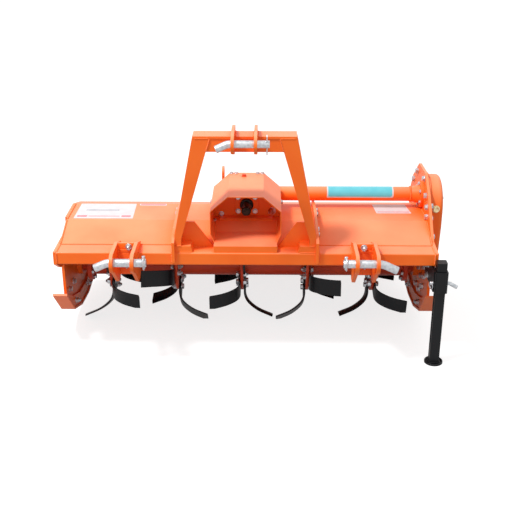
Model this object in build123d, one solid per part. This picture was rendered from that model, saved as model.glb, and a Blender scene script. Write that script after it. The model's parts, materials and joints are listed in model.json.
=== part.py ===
from build123d import *
import math
import os

# Rotavator of 1.25 m working width for a three-point hitch.
# Millimetres. The origin is midway between the two lower hitch pins.
# +X runs along the rotor to the chain side, +Y runs back from the tractor, +Z is up.

# ---------------------------------------------------------------- driving sizes
# hitch
PIN_SPREAD = 825.0          # between the middles of the two lower clevises
MAST_HEIGHT = 415.0         # from the lower pins up to the top pin
LOWER_PIN_R = 14.0
TOP_PIN_R = 12.5
PIN_FIT = 0.2               # radial play of a hitch pin in its ears
EAR_T = 12.0
LOWER_EAR_PITCH = 70.0      # middle to middle of a lower clevis's ears
TOP_EAR_PITCH = 74.0
TOP_EAR_T = 10.0
TOP_NOSE_R = 31.0
EAR_NOSE_R = 34.0
EAR_RISE = 36.0             # a lower ear's top over the beam's front
EAR_TAIL_RISE = 14.0        # and over its back
EAR_LOBE = 59.0             # how far the ears hang below the beam
EAR_LOBE_FRONT = -9.0       # the lobe's lower edge, from the beam's front
EAR_LOBE_BACK = 21.0
EAR_CORNER = 10.0           # the top's corner behind the beam's front
EAR_TAIL_IN = 10.0          # from the lobe's back to the beam's back
EAR_CHEEK = 11.0            # upright stretch of the lobe's back
EAR_WEB_Y = 24.0            # web between the ears, behind the beam's front
EAR_WEB_HEIGHT = 46.0
LOWER_PIN_REACH = 40.0      # a pin's straight end beyond its ear
PIN_BEND_LENGTH = 42.0      # the bent-over handle of a hitch pin

# body
BODY_HALF = 659.0           # from the middle to a side plate's inner face
SIDE_T = 10.0
PLATE_STEP = 46.0           # step in a side plate's front edge, under the beam
PLATE_STEP_RISE = 8.0
ROTOR_Y = 447.0
ROTOR_Z = -198.0
BEAM_FRONT_Y = 94.0
BEAM_DEPTH = 74.0
BEAM_HEIGHT = 46.0
BEAM_TOP_Z = -3.0
BEAM_WALL = 5.0
SHEET = 4.0                 # hood and board sheet
HOOD_TOP_DZ = 238.0         # top of the hood above the rotor axis
HOOD_FOLD_DY = -147.0       # the hood's front fold, from the rotor axis
HOOD_RIDGE_DY = 22.0
HOOD_SHOULDER_DY = 150.0    # bends of the hood's back, from the rotor axis
HOOD_SHOULDER_DZ = 200.0
HOOD_KNEE_DY = 225.0
HOOD_KNEE_DZ = 110.0
HOOD_EDGE_DY = 250.0
HOOD_EDGE_DZ = 22.0
HOOD_FLANGE = 36.0          # the hood's flange down the beam's back
HOOD_GUSSET = 30.0          # the hood's end gussets run this far behind its front fold

# rotor
SWING_R = 218.0
TUBE_R = 44.5
TUBE_WALL = 6.0
TUBE_PLUG = 20.0            # solid length at each end of the tube
TUBE_END_GAP = 25.0         # from an end flange to the seal housing
STUB_R = 30.0
END_FLANGE_R = 66.0
END_FLANGE_T = 16.0
SEAL_R = 44.0
SEAL_LENGTH = 18.0
FLANGE_R = 102.0
FLANGE_T = 10.0
FLANGE_LEAST_PITCH = 248.0  # closest that two flanges may stand
FIRST_FLANGE_IN = 139.0     # from the bearing side's plate to the first flange
LAST_FLANGE_IN = 179.0      # from the last flange to the chain side's plate
BLADES_A_SIDE = 3
WELD_GAP = 0.2              # left between curved faces that are welded on the real machine
BLADE_T = 8.0
BLADE_WIDTH = 60.0
BLADE_REACH = 120.0         # how far a blade's tip stands off its flange
BLADE_PIVOT_R = 190.0       # the blade is turned about this radius
BLADE_RELIEF = 13.0         # by this angle in degrees, which draws its heel in
FLANGE_PHASES = [           # each flange's chain-side blade, in degrees from straight down to the front
    69.0,
    36.0,
    8.0,
    -33.0,
    -57.0,
]

# bearing on the left side plate, and the stub that runs in it
STUB_OUT = 20.0             # the stub's end beyond the side plate
BEARING_FLANGE_R = 75.0
BEARING_FLANGE_T = 12.0
BEARING_HUB_R = 52.0
BEARING_HUB_LENGTH = 22.0
BEARING_CAP_R = 36.0
BEARING_CAP_T = 8.0
STUB_END_GAP = 4.0          # from the stub's end to the bottom of its bore

# drive
CHAIN_CENTRES = 290.0       # rotor axis to drive tube axis
DRIVE_TUBE_R = 27.0
DRIVE_TUBE_WALL = 4.0
DRIVE_FLANGE_R = 50.0
DRIVE_FLANGE_T = 12.0
CASE_DEPTH = 53.0
CASE_WALL = 4.0
CASE_EDGE_R = 16.0
CASE_LOW_R = 78.0           # round the rotor axis
CASE_HIGH_R = 110.0         # round the case's two upper middles
CASE_HIGH_BELOW = (85.0, 36.0)  # how far these lie under the drive tube's axis
DRIVE_COLLAR_R = 36.0       # the tube's collar at the gearbox
DRIVE_FLARE = 34.0          # length of its flare at the chain side
GEARBOX_HALF = 75.0
GEARBOX_FRONT_DY = -105.0
GEARBOX_BACK_DY = 88.0
GEARBOX_TOP_ABOVE = 45.0    # above the input shaft's axis
GEARBOX_EDGE_R = 12.0
GEARBOX_SHOULDER = 28.0     # chamfer along its upper edges
FILLER_R = 16.0
FILLER_T = 6.0
FILLER_DY = 45.0
SIDE_COVER_R = 42.0         # cover opposite the drive tube
SIDE_COVER_T = 12.0
EYE_PLATE_T = 8.0           # lifting eye, bolted on that cover
EYE_PLATE_WIDTH = 56.0
EYE_PLATE_ABOVE = 95.0      # its top above the input shaft's axis
EYE_PLATE_BELOW = 16.0
EYE_PLATE_HOLE_R = 11.0
BASE_T = 6.0
BASE_BORDER = 20.0
FRONT_PLATE_T = 6.0
PLATE_HOLE_R = 15.0         # inspection hole beside the input shaft
PLATE_HOLE_X = 93.0
PLATE_HOLE_BELOW = 30.0
COVER_R = 44.0
COVER_T = 8.0
BOSS_R = 25.5
BOSS_T = 6.0
INPUT_R = 17.45             # 1 3/8 inch six-spline input shaft
INPUT_SEAT_R = 20.0         # where it runs in the seal and the gearbox
INPUT_SEAT_DEPTH = 50.0
INPUT_FREE = 72.0           # free length of the input shaft
INPUT_CHAMFER = 2.5
INPUT_FIT = 0.1
SPLINE_COUNT = 6
SPLINE_WIDTH = 3.4
SPLINE_DEPTH = 1.6

# guard over the input shaft
GUARD_T = 3.0
GUARD_FRONT_DY = -300.0
GUARD_BACK_DY = -32.0
GUARD_TOE = 21.0            # how much further forward its feet reach
GUARD_TOP_HALF = 62.0
GUARD_SIDE_HALF = 124.0
GUARD_FOOT_HALF = 99.0
GUARD_TOP_ABOVE = 92.0      # above the input shaft's axis
GUARD_SHOULDER_ABOVE = 37.0
GUARD_WAIST_BELOW = 47.0
SILL_HALF = 110.0           # folded sill under the guard's mouth
SILL_T = 3.0

# mast
MAST_TOP_Y = 82.0           # the mast's front, at its top
MAST_FOOT_Y = 100.0         # and at the top of its foot pads
MAST_DEPTH = 68.0           # of the cap on the posts
POST_DEPTH = 56.0
MAST_T = 8.0
MAST_BAR_HALF = 172.0
MAST_BAR_HEIGHT = 54.0
MAST_BAR_ABOVE = 2.0        # top of the cap above the top pin
BAR_SET_BACK = 2.0          # the bar's front behind the posts' fronts
LUG_RISE = 30.0             # the top lugs' backs over the cap, at its front
LUG_TAIL_RISE = 21.0        # and at its back
LUG_FOOT = 26.0             # slant of a lug's lower edge
PAD_HEIGHT = 24.0           # foot pads on the beam
PAD_SET_BACK = 4.0
PAD_IN = 189.0              # a pad's inner end, from the middle
PAD_SPLAY = 7.0
PAD_BACK = 66.0
POST_FOOT_RISE = 40.0       # upright stretch of a post's outer flange
POST_INNER_RISE = 24.0      # and of its inner flange
POST_TOP_WIDTH = 59.0
POST_FOOT_WIDTH = 22.0
POST_FOOT_OUT = 244.0       # outer side of a post's foot, from the middle
RIB_T = 10.0
RIB_STAND = 42.0            # how far a rib stands proud of the beam
RIB_STAND_BACK = 18.0       # and of the hood's top, where it passes under the drive tube
RIB_SHOULDER = 22.0         # further rise of a rib's corner over the beam
RIB_LEAD = 12.0             # how far a rib reaches before the beam's front
RIB_END_UP = 14.0           # a rib's lower end above the beam's underside
GUSSET_HEIGHT = 94.0
GUSSET_TOP = 29.0
GUSSET_GAP = 14.0           # from the guard's foot to a gusset's toe
GUSSET_BACK = 66.0          # its back behind the beam's front

# skids
SKID_PROUD = 29.0           # a sole's outer edge beyond the side plate
SKID_WIDTH = 52.0
SKID_T = 8.0
SKID_WEB = 46.0
SOLE_NOSE_DY = -298.0       # ends of the sole's underside, from the rotor axis
SOLE_HEEL_DY = 268.0
SOLE_HEEL_DZ = -112.0
SOLE_BENDS = [              # dy and dz of its bends
    (-190.0, -108.0),
    (-60.0, -152.0),
    (75.0, -164.0),
    (205.0, -150.0),
]
NOSE_BEYOND_PLATE = 52.0    # the sole's nose before the side plate's front edge
HEEL_BEYOND_PLATE = 22.0

# stand
LEG = 35.0
LEG_WALL = 4.0
SLEEVE = 45.0
SLEEVE_PLAY = 0.5
SLEEVE_HEIGHT = 78.0
SLEEVE_TOP_BELOW = 6.0      # under the beam's underside
STAND_OUT = 18.0            # leg's middle outside the side plate's inner face
ARM_T = 8.0
ARM_REACH = 212.0           # the arm's back end, before the rotor axis
STAND_PLAY_Y = 5.0          # leg to beam
LEG_ABOVE = 33.0            # leg above its sleeve
FOOT_R = 33.0
FOOT_T = 9.0
STAND_TRAVEL = 240.0
STAND_PIN_R = 7.0
STAND_PIN_UP = 30.0         # above the sleeve's lower end
STAND_PIN_PLAY = 0.3

# trailing board
HINGE_DY = 264.0
HINGE_DZ = 10.0
HINGE_R = 7.0
HINGE_PLAY = 0.3
KNUCKLE_WALL = 4.0
KNUCKLE_LENGTH = 80.0
KNUCKLE_IN = 99.0           # outer knuckles' middles inside the side plates
KNUCKLE_NOTCH = 4.0         # clearance of the board's notches round the hood's knuckles
HINGE_ROD_END = 4.0         # hinge rod's end to side plate
BOARD_GAP = 9.0             # board end to side plate
BOARD_BENDS = [             # dy and dz of its bends, from the rotor axis
    (305.0, -40.0),
    (355.0, -105.0),
    (392.0, -170.0),
]
BOARD_EDGE_DY = 412.0
BOARD_EDGE_UP = 1.0         # the lower edge's height off the ground

# adjuster between the hood and the board
LUG_PIN_R = 6.0
LUG_T = 6.0
LUG_GAP = 16.0
LUG_R = 13.0
LUG_DY = 372.0              # lug pin from the rotor axis
LUG_DZ = -62.0
PIN_END = 6.0               # a pin's end beyond its ear
EYE_R = 15.0
EYE_T = 12.0
ROD_R = 7.0
SPRING_R = 15.0
SPRING_LENGTH = 60.0
NUT_T = 10.0
ROD_END = 18.0              # rod beyond its spring
SLOT_DY = 305.0             # the slot's middle from the rotor axis
SLOT_DZ = 172.0
BRACKET_HALF = 22.0
BRACKET_LENGTH = 110.0
BRACKET_T = 8.0
BRACKET_ARM_T = 6.0
BRACKET_ARM_BACK = 52.0     # the arms' reach behind the slot's middle
BRACKET_ARM_DEEP = 20.0
BRACKET_ARM_DIP = 40.0
SLOT_LENGTH = 34.0          # lets the rod lean as the board lifts
SLOT_WIDTH = 20.0

# ---------------------------------------------------------------- worked out from them
BEAM_BACK_Y = BEAM_FRONT_Y + BEAM_DEPTH
BEAM_BOTTOM_Z = BEAM_TOP_Z - BEAM_HEIGHT
GROUND_Z = ROTOR_Z - SWING_R
HOOD_TOP_Z = ROTOR_Z + HOOD_TOP_DZ
DRIVE_Z = ROTOR_Z + CHAIN_CENTRES
PLATE_OUT = BODY_HALF + SIDE_T
PLATE_FRONT_DY = SOLE_NOSE_DY + NOSE_BEYOND_PLATE
PLATE_BACK_DY = SOLE_HEEL_DY - HEEL_BEYOND_PLATE
SKID_OUT = PLATE_OUT + SKID_PROUD
TUBE_HALF = BODY_HALF - SEAL_LENGTH - TUBE_END_GAP - END_FLANGE_T
FLANGE_FIRST_X = FIRST_FLANGE_IN - BODY_HALF
FLANGE_SPAN = BODY_HALF - LAST_FLANGE_IN - FLANGE_FIRST_X
FLANGE_COUNT = 1 + int(FLANGE_SPAN // FLANGE_LEAST_PITCH)
FLANGE_PITCH = FLANGE_SPAN / (FLANGE_COUNT - 1)
KNUCKLE_X = BODY_HALF - KNUCKLE_IN
HOOD_KNUCKLES = (-KNUCKLE_X, 0.0, KNUCKLE_X)
BOARD_KNUCKLES = (-KNUCKLE_X / 2, KNUCKLE_X / 2)
TOP_PIN_Z = MAST_HEIGHT
MAST_TOP_Z = TOP_PIN_Z + MAST_BAR_ABOVE
PAD_TOP_Z = BEAM_TOP_Z + PAD_HEIGHT
POST_LENGTH = math.dist((MAST_TOP_Y, MAST_TOP_Z), (MAST_FOOT_Y, PAD_TOP_Z))


def from_rotor(dy, dz):
    """A (y, z) point given from the rotor axis."""
    return (ROTOR_Y + dy, ROTOR_Z + dz)


# ---------------------------------------------------------------- shape helpers
def box(x, y, z):
    """A block between two limits along each axis."""
    size = [high - low for low, high in (x, y, z)]
    middle = [(high + low) / 2 for low, high in (x, y, z)]
    return Pos(*middle) * Box(*size)


def plate_x(outline, x0, x1):
    """A plate that faces along X, from its (y, z) outline."""
    face = make_face(Plane.YZ.offset(x0) * Polyline(*outline, close=True))
    return extrude(face, amount=x1 - x0, dir=(1, 0, 0))


def plate_y(outline, y0, y1):
    """A plate that faces along Y, from its (x, z) outline."""
    face = make_face(Plane.XZ.offset(-y0) * Polyline(*outline, close=True))
    return extrude(face, amount=y1 - y0, dir=(0, 1, 0))


def rod_x(radius, x0, x1, y, z):
    return Pos((x0 + x1) / 2, y, z) * Rot(0, 90, 0) * Cylinder(radius, abs(x1 - x0))


def rod_y(radius, y0, y1, x, z):
    return Pos(x, (y0 + y1) / 2, z) * Rot(90, 0, 0) * Cylinder(radius, abs(y1 - y0))


def rod_z(radius, z0, z1, x, y):
    return Pos(x, y, (z0 + z1) / 2) * Cylinder(radius, abs(z1 - z0))


def capsule(start, end, radius):
    """A round bar between two points, with a ball at its far end."""
    start, end = Vector(*start), Vector(*end)
    line = end - start
    bar = Plane(origin=start, z_dir=line) * extrude(Circle(radius), amount=line.length)
    return bar + Pos(end) * Sphere(radius)


def strip_outline(line, thickness):
    """The closed outline of a bent strip: its line, and the same line moved to the left."""
    moved = []
    for i, (y, z) in enumerate(line):
        before = line[max(i - 1, 0)]
        after = line[min(i + 1, len(line) - 1)]
        normals = []
        for start, end in ((before, (y, z)), ((y, z), after)):
            length = math.dist(start, end)
            if length > 0:
                normals.append((-(end[1] - start[1]) / length, (end[0] - start[0]) / length))
        ny = sum(n[0] for n in normals) / len(normals)
        nz = sum(n[1] for n in normals) / len(normals)
        stretch = thickness / (ny * ny + nz * nz)
        moved.append((y + ny * stretch, z + nz * stretch))
    return line + moved[::-1], moved


# ---------------------------------------------------------------- lines that several pieces share
# hood section, outside, from the beam's back over the top to the rear edge
HOOD_LINE = [
    (BEAM_BACK_Y, BEAM_TOP_Z - HOOD_FLANGE),
    (BEAM_BACK_Y, BEAM_TOP_Z),
    from_rotor(HOOD_FOLD_DY, HOOD_TOP_DZ),
    from_rotor(HOOD_RIDGE_DY, HOOD_TOP_DZ),
    from_rotor(HOOD_SHOULDER_DY, HOOD_SHOULDER_DZ),
    from_rotor(HOOD_KNEE_DY, HOOD_KNEE_DZ),
    from_rotor(HOOD_EDGE_DY, HOOD_EDGE_DZ),
]

# skid sole, underside, from the nose to the heel
SOLE_LINE = [from_rotor(SOLE_NOSE_DY, 0)]
SOLE_LINE += [from_rotor(dy, dz) for dy, dz in SOLE_BENDS]
SOLE_LINE += [from_rotor(SOLE_HEEL_DY, SOLE_HEEL_DZ)]
SOLE_OUTLINE, SOLE_TOP = strip_outline(SOLE_LINE, SKID_T)

# board section, outside, from the hinge to the lower edge
BOARD_LINE = [from_rotor(HINGE_DY + HINGE_R + KNUCKLE_WALL, HINGE_DZ)]
BOARD_LINE += [from_rotor(dy, dz) for dy, dz in BOARD_BENDS]
BOARD_LINE += [from_rotor(BOARD_EDGE_DY, -SWING_R + BOARD_EDGE_UP)]


def on_line(line, y):
    """The point of a line of (y, z) points at a given y."""
    for (y0, z0), (y1, z1) in zip(line, line[1:]):
        if y0 <= y <= y1:
            return (y, z0 + (z1 - z0) * (y - y0) / (y1 - y0))
    raise ValueError("the line doesn't reach this y")


def on_height(line, z):
    """The y of a line of (y, z) points at a given z, on its first climb past it."""
    for (y0, z0), (y1, z1) in zip(line, line[1:]):
        if z0 <= z < z1:
            return y0 + (y1 - y0) * (z - z0) / (z1 - z0)
    raise ValueError("the line doesn't reach this z")


def side_outline(top):
    """A side plate's outline; top is its stretch from the beam's front to the hood's rear edge."""
    front_y, back_y = ROTOR_Y + PLATE_FRONT_DY, ROTOR_Y + PLATE_BACK_DY
    sole = [p for p in SOLE_TOP if front_y < p[0] < back_y]
    lower = [on_line(SOLE_TOP, back_y)] + sole[::-1] + [on_line(SOLE_TOP, front_y)]
    lower += [
        (front_y, BEAM_BOTTOM_Z - PLATE_STEP),
        (front_y - PLATE_STEP, BEAM_BOTTOM_Z - PLATE_STEP + PLATE_STEP_RISE),
        (BEAM_FRONT_Y, BEAM_BOTTOM_Z),
    ]
    return top + lower


# ---------------------------------------------------------------- frame
def front_beam():
    outer = box((-BODY_HALF, BODY_HALF), (BEAM_FRONT_Y, BEAM_BACK_Y), (BEAM_BOTTOM_Z, BEAM_TOP_Z))
    outer = fillet(outer.edges().filter_by(Axis.X), 5)
    inner = box(
        (-BODY_HALF, BODY_HALF),
        (BEAM_FRONT_Y + BEAM_WALL, BEAM_BACK_Y - BEAM_WALL),
        (BEAM_BOTTOM_Z + BEAM_WALL, BEAM_TOP_Z - BEAM_WALL),
    )
    return outer - inner


def hinge_knuckles(middles):
    """Knuckles on the board's hinge line, as solid rods that get bored later."""
    y, z = from_rotor(HINGE_DY, HINGE_DZ)
    radius = HINGE_R + HINGE_PLAY + KNUCKLE_WALL
    return [rod_x(radius, x - KNUCKLE_LENGTH / 2, x + KNUCKLE_LENGTH / 2, y, z) for x in middles]


def hinge_bore():
    y, z = from_rotor(HINGE_DY, HINGE_DZ)
    return rod_x(HINGE_R + HINGE_PLAY, -BODY_HALF, BODY_HALF, y, z)


def hood():
    outline, _ = strip_outline(HOOD_LINE[::-1], SHEET)
    shell = plate_x(outline, -BODY_HALF, BODY_HALF)
    for side in (-1, 1):
        ends = sorted((side * BODY_HALF, side * (BODY_HALF - SHEET)))
        web = [
            (BEAM_BACK_Y + SHEET, BEAM_TOP_Z - SHEET),
            (BEAM_BACK_Y + SHEET, BEAM_TOP_Z),
            from_rotor(HOOD_FOLD_DY, HOOD_TOP_DZ - SHEET / 2),
            from_rotor(HOOD_FOLD_DY + HOOD_GUSSET, HOOD_TOP_DZ - SHEET / 2),
            (ROTOR_Y + HOOD_FOLD_DY + HOOD_GUSSET, BEAM_TOP_Z - SHEET),
        ]
        shell += plate_x(web, *ends)
    y, z = from_rotor(HINGE_DY, HINGE_DZ)
    edge_y, edge_z = HOOD_LINE[-1]
    for x in HOOD_KNUCKLES:
        knuckle = hinge_knuckles([x])[0]
        tab = plate_x(
            [(edge_y - SHEET, edge_z + 12), (edge_y, edge_z + 14), (y + 2, z + 6), (y - 6, z)],
            x - KNUCKLE_LENGTH / 2,
            x + KNUCKLE_LENGTH / 2,
        )
        shell += knuckle + tab
    return shell - hinge_bore()


def with_seal_housing(plate, side):
    """Adds the seal housing round the rotor's stub, on a side plate's inner face."""
    inner = side * (BODY_HALF - SEAL_LENGTH)
    ring = rod_x(SEAL_R, *sorted((inner, side * BODY_HALF)), ROTOR_Y, ROTOR_Z)
    return plate + ring - rod_x(STUB_R + WELD_GAP, *sorted((inner, side * PLATE_OUT)), ROTOR_Y, ROTOR_Z)


def side_plate_left():
    step_y = ROTOR_Y + HOOD_FOLD_DY + 22
    top = [
        (BEAM_FRONT_Y, BEAM_TOP_Z),
        (step_y, BEAM_TOP_Z),
        (step_y, HOOD_TOP_Z),
    ] + HOOD_LINE[3:]
    plate = plate_x(side_outline(top), -PLATE_OUT, -BODY_HALF)
    return with_seal_housing(plate, -1)


def side_plate_right():
    top = [
        (BEAM_FRONT_Y, BEAM_TOP_Z),
        from_rotor(-252, 198),
        from_rotor(-120, CHAIN_CENTRES + 35),
        from_rotor(-30, CHAIN_CENTRES + 92),
        from_rotor(112, CHAIN_CENTRES + 85),
        from_rotor(228, CHAIN_CENTRES),
        from_rotor(282, 212),
        from_rotor(262, 60),
    ]
    plate = plate_x(side_outline(top), BODY_HALF, PLATE_OUT)
    return with_seal_housing(plate, 1)


def skid(side):
    """Sole strip with its bolting web, against the inner face of a side plate."""
    outer = side * SKID_OUT
    sole = plate_x(SOLE_OUTLINE, *sorted((outer, outer - side * SKID_WIDTH)))
    low = SOLE_TOP[:5]
    high = [(y, z + SKID_WEB) for y, z in low[1:]]
    web_line = low + high[::-1]
    face = side * BODY_HALF
    return sole + plate_x(web_line, *sorted((face, face - side * SKID_T)))


def bearing_left():
    flange_x = -PLATE_OUT - BEARING_FLANGE_T
    hub_x = flange_x - BEARING_HUB_LENGTH
    flange = rod_x(BEARING_FLANGE_R, flange_x, -PLATE_OUT, ROTOR_Y, ROTOR_Z)
    hub = rod_x(BEARING_HUB_R, hub_x, flange_x, ROTOR_Y, ROTOR_Z)
    cap = rod_x(BEARING_CAP_R, hub_x - BEARING_CAP_T, hub_x, ROTOR_Y, ROTOR_Z)
    bore_end = -PLATE_OUT - STUB_OUT - STUB_END_GAP
    return flange + hub + cap - rod_x(STUB_R + WELD_GAP, bore_end, -PLATE_OUT, ROTOR_Y, ROTOR_Z)


# ---------------------------------------------------------------- drive
def case_section(shrink, x0, x1):
    """The chain case's form: three discs on the line of centres and the hull between them."""
    discs = [(0.0, CASE_LOW_R - shrink)]
    discs += [(CHAIN_CENTRES - below, CASE_HIGH_R - shrink) for below in CASE_HIGH_BELOW]
    body = None
    for (dz_a, r_a), (dz_b, r_b) in zip(discs, discs[1:]):
        circles = [Pos(0, dz_a) * Circle(r_a), Pos(0, dz_b) * Circle(r_b)]
        lean = math.asin((r_a - r_b) / (dz_b - dz_a))
        c, s = math.cos(lean), math.sin(lean)
        quad = Polyline(
            (-r_a * c, dz_a + r_a * s),
            (-r_b * c, dz_b + r_b * s),
            (r_b * c, dz_b + r_b * s),
            (r_a * c, dz_a + r_a * s),
            close=True,
        )
        piece = circles[0] + circles[1] + make_face(quad)
        body = piece if body is None else body + piece
    placed = Plane(origin=(x0, ROTOR_Y, ROTOR_Z), x_dir=(0, 1, 0), z_dir=(1, 0, 0)) * body
    return extrude(placed, amount=x1 - x0, dir=(1, 0, 0))


def chain_case():
    outer = case_section(0, PLATE_OUT, PLATE_OUT + CASE_DEPTH)
    rim = outer.faces().sort_by(Axis.X)[-1].edges()
    outer = fillet(rim, CASE_EDGE_R)
    inner = case_section(CASE_WALL, PLATE_OUT, PLATE_OUT + CASE_DEPTH - CASE_WALL)
    return outer - fillet(inner.faces().sort_by(Axis.X)[-1].edges(), CASE_EDGE_R - CASE_WALL)


def drive_tube():
    x0, x1 = GEARBOX_HALF, BODY_HALF
    tube = rod_x(DRIVE_TUBE_R, x0, x1, ROTOR_Y, DRIVE_Z)
    tube += rod_x(DRIVE_COLLAR_R, x0, x0 + DRIVE_FLANGE_T, ROTOR_Y, DRIVE_Z)
    tube += rod_x(DRIVE_FLANGE_R, x1 - DRIVE_FLANGE_T, x1, ROTOR_Y, DRIVE_Z)
    flare = Cone(DRIVE_TUBE_R, DRIVE_COLLAR_R, DRIVE_FLARE)
    tube += Pos(x1 - DRIVE_FLANGE_T - DRIVE_FLARE / 2, ROTOR_Y, DRIVE_Z) * Rot(0, 90, 0) * flare
    return tube - rod_x(DRIVE_TUBE_R - DRIVE_TUBE_WALL, x0, x1, ROTOR_Y, DRIVE_Z)


def gearbox_base():
    return box(
        (-GEARBOX_HALF - BASE_BORDER, GEARBOX_HALF + BASE_BORDER),
        (ROTOR_Y + HOOD_FOLD_DY, ROTOR_Y + HOOD_RIDGE_DY),
        (HOOD_TOP_Z, HOOD_TOP_Z + BASE_T),
    )


def gearbox():
    front, back = ROTOR_Y + GEARBOX_FRONT_DY, ROTOR_Y + GEARBOX_BACK_DY
    bottom, top = HOOD_TOP_Z + BASE_T, DRIVE_Z + GEARBOX_TOP_ABOVE
    housing = box((-GEARBOX_HALF, GEARBOX_HALF), (front, back), (bottom, top))
    housing = chamfer(housing.edges().filter_by(Axis.Y).sort_by(Axis.Z)[-2:], GEARBOX_SHOULDER)
    housing = fillet(housing.edges().filter_by(Axis.Z), GEARBOX_EDGE_R)
    housing += rod_z(FILLER_R, top, top + FILLER_T, 0, ROTOR_Y + FILLER_DY)
    cover_x = -GEARBOX_HALF - SIDE_COVER_T
    housing += rod_x(SIDE_COVER_R, cover_x, -GEARBOX_HALF, ROTOR_Y, DRIVE_Z)
    sides = (cover_x - EYE_PLATE_T, cover_x)
    heights = (DRIVE_Z - EYE_PLATE_BELOW, DRIVE_Z + EYE_PLATE_ABOVE)
    eye = box(sides, (ROTOR_Y, ROTOR_Y + EYE_PLATE_WIDTH), heights)
    corner = EYE_PLATE_HOLE_R * 2
    eye = fillet(eye.edges().filter_by(Axis.X).sort_by(Axis.Z)[-2:], corner)
    housing += eye - rod_x(EYE_PLATE_HOLE_R, *sides, ROTOR_Y + EYE_PLATE_WIDTH / 2, heights[1] - corner)
    return housing - rod_y(INPUT_SEAT_R + INPUT_FIT, front, front + INPUT_SEAT_DEPTH + 5, 0, DRIVE_Z)


def input_cover():
    """Bolted cover with the seal boss that the input shaft comes out of."""
    face = ROTOR_Y + GEARBOX_FRONT_DY - FRONT_PLATE_T
    cover = rod_y(COVER_R, face - COVER_T, face, 0, DRIVE_Z)
    cover += rod_y(BOSS_R, face - COVER_T - BOSS_T, face - COVER_T, 0, DRIVE_Z)
    return cover - rod_y(INPUT_SEAT_R + INPUT_FIT, face - COVER_T - BOSS_T, face, 0, DRIVE_Z)


def input_shaft():
    face = ROTOR_Y + GEARBOX_FRONT_DY
    shoulder = face - FRONT_PLATE_T - COVER_T - BOSS_T
    tip = shoulder - INPUT_FREE
    shaft = rod_y(INPUT_R, tip, shoulder, 0, DRIVE_Z)
    shaft = chamfer(shaft.edges().filter_by(GeomType.CIRCLE).sort_by(Axis.Y)[:1], INPUT_CHAMFER)
    shaft += rod_y(INPUT_SEAT_R, shoulder, face + INPUT_SEAT_DEPTH, 0, DRIVE_Z)
    groove = box(
        (-SPLINE_WIDTH / 2, SPLINE_WIDTH / 2),
        (tip - 1, shoulder),
        (INPUT_R - SPLINE_DEPTH, INPUT_R + 2),
    )
    for i in range(SPLINE_COUNT):
        turned = Pos(0, 0, DRIVE_Z) * Rot(0, i * 360 / SPLINE_COUNT, 0) * groove
        shaft -= turned
    return shaft


def guard_outline(shrink):
    """The guard's folded section, as (x, z) points from one foot over the top to the other."""
    half = [
        (GUARD_FOOT_HALF - shrink, BEAM_TOP_Z),
        (GUARD_SIDE_HALF - shrink, DRIVE_Z - GUARD_WAIST_BELOW),
        (GUARD_SIDE_HALF - shrink, DRIVE_Z + GUARD_SHOULDER_ABOVE - shrink * 0.4),
        (GUARD_TOP_HALF - shrink * 0.4, DRIVE_Z + GUARD_TOP_ABOVE - shrink),
    ]
    return half + [(-x, z) for x, z in half[::-1]]


def input_guard():
    """Folded hood over the input shaft, with a sill on the beam under its mouth."""
    front, back = ROTOR_Y + GUARD_FRONT_DY, ROTOR_Y + GUARD_BACK_DY
    toe, top = front - GUARD_TOE, DRIVE_Z + GUARD_TOP_ABOVE
    shell = plate_y(guard_outline(0), toe, back) - plate_y(guard_outline(GUARD_T), toe, back)
    under = [(BEAM_BACK_Y, BEAM_TOP_Z - 60)] + HOOD_LINE[1:4] + [(ROTOR_Y + 100, BEAM_TOP_Z - 60)]
    shell -= plate_x(under, -GUARD_SIDE_HALF - 5, GUARD_SIDE_HALF + 5)
    mouth = [
        (toe - 5, BEAM_TOP_Z),
        (toe, BEAM_TOP_Z),
        (front, DRIVE_Z - GUARD_WAIST_BELOW),
        (front, top + 5),
        (toe - 5, top + 5),
    ]
    shell -= plate_x(mouth, -GUARD_SIDE_HALF - 5, GUARD_SIDE_HALF + 5)
    sill_y = BEAM_FRONT_Y + PAD_SET_BACK
    hood_y = on_height(HOOD_LINE, PAD_TOP_Z - SILL_T)
    sill = [
        (sill_y, BEAM_TOP_Z),
        (sill_y, PAD_TOP_Z),
        (hood_y, PAD_TOP_Z),
        (hood_y, PAD_TOP_Z - SILL_T),
        (sill_y + SILL_T, PAD_TOP_Z - SILL_T),
        (sill_y + SILL_T, BEAM_TOP_Z),
    ]
    return shell + plate_x(sill, -SILL_HALF, SILL_HALF)


def gearbox_front_plate():
    """Upright plate that ties the guard to the gearbox, with an inspection hole."""
    face = ROTOR_Y + GEARBOX_FRONT_DY
    inside = GUARD_SIDE_HALF - GUARD_T
    waist = DRIVE_Z - GUARD_WAIST_BELOW
    taper = (GUARD_SIDE_HALF - GUARD_FOOT_HALF) / (waist - BEAM_TOP_Z)
    foot = inside - taper * (waist - HOOD_TOP_Z)
    outline = [
        (-foot, HOOD_TOP_Z),
        (-inside, waist),
        (-inside, DRIVE_Z + GUARD_SHOULDER_ABOVE - GUARD_T),
        (-GUARD_TOP_HALF, DRIVE_Z + GUARD_TOP_ABOVE - 2 * GUARD_T),
        (GUARD_TOP_HALF, DRIVE_Z + GUARD_TOP_ABOVE - 2 * GUARD_T),
        (inside, DRIVE_Z + GUARD_SHOULDER_ABOVE - GUARD_T),
        (inside, waist),
        (foot, HOOD_TOP_Z),
    ]
    front = face - FRONT_PLATE_T
    plate = plate_y(outline, front, face) - gearbox_base() - rod_y(BOSS_R, front, face, 0, DRIVE_Z)
    return plate - rod_y(PLATE_HOLE_R, front, face, PLATE_HOLE_X, DRIVE_Z - PLATE_HOLE_BELOW)


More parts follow.
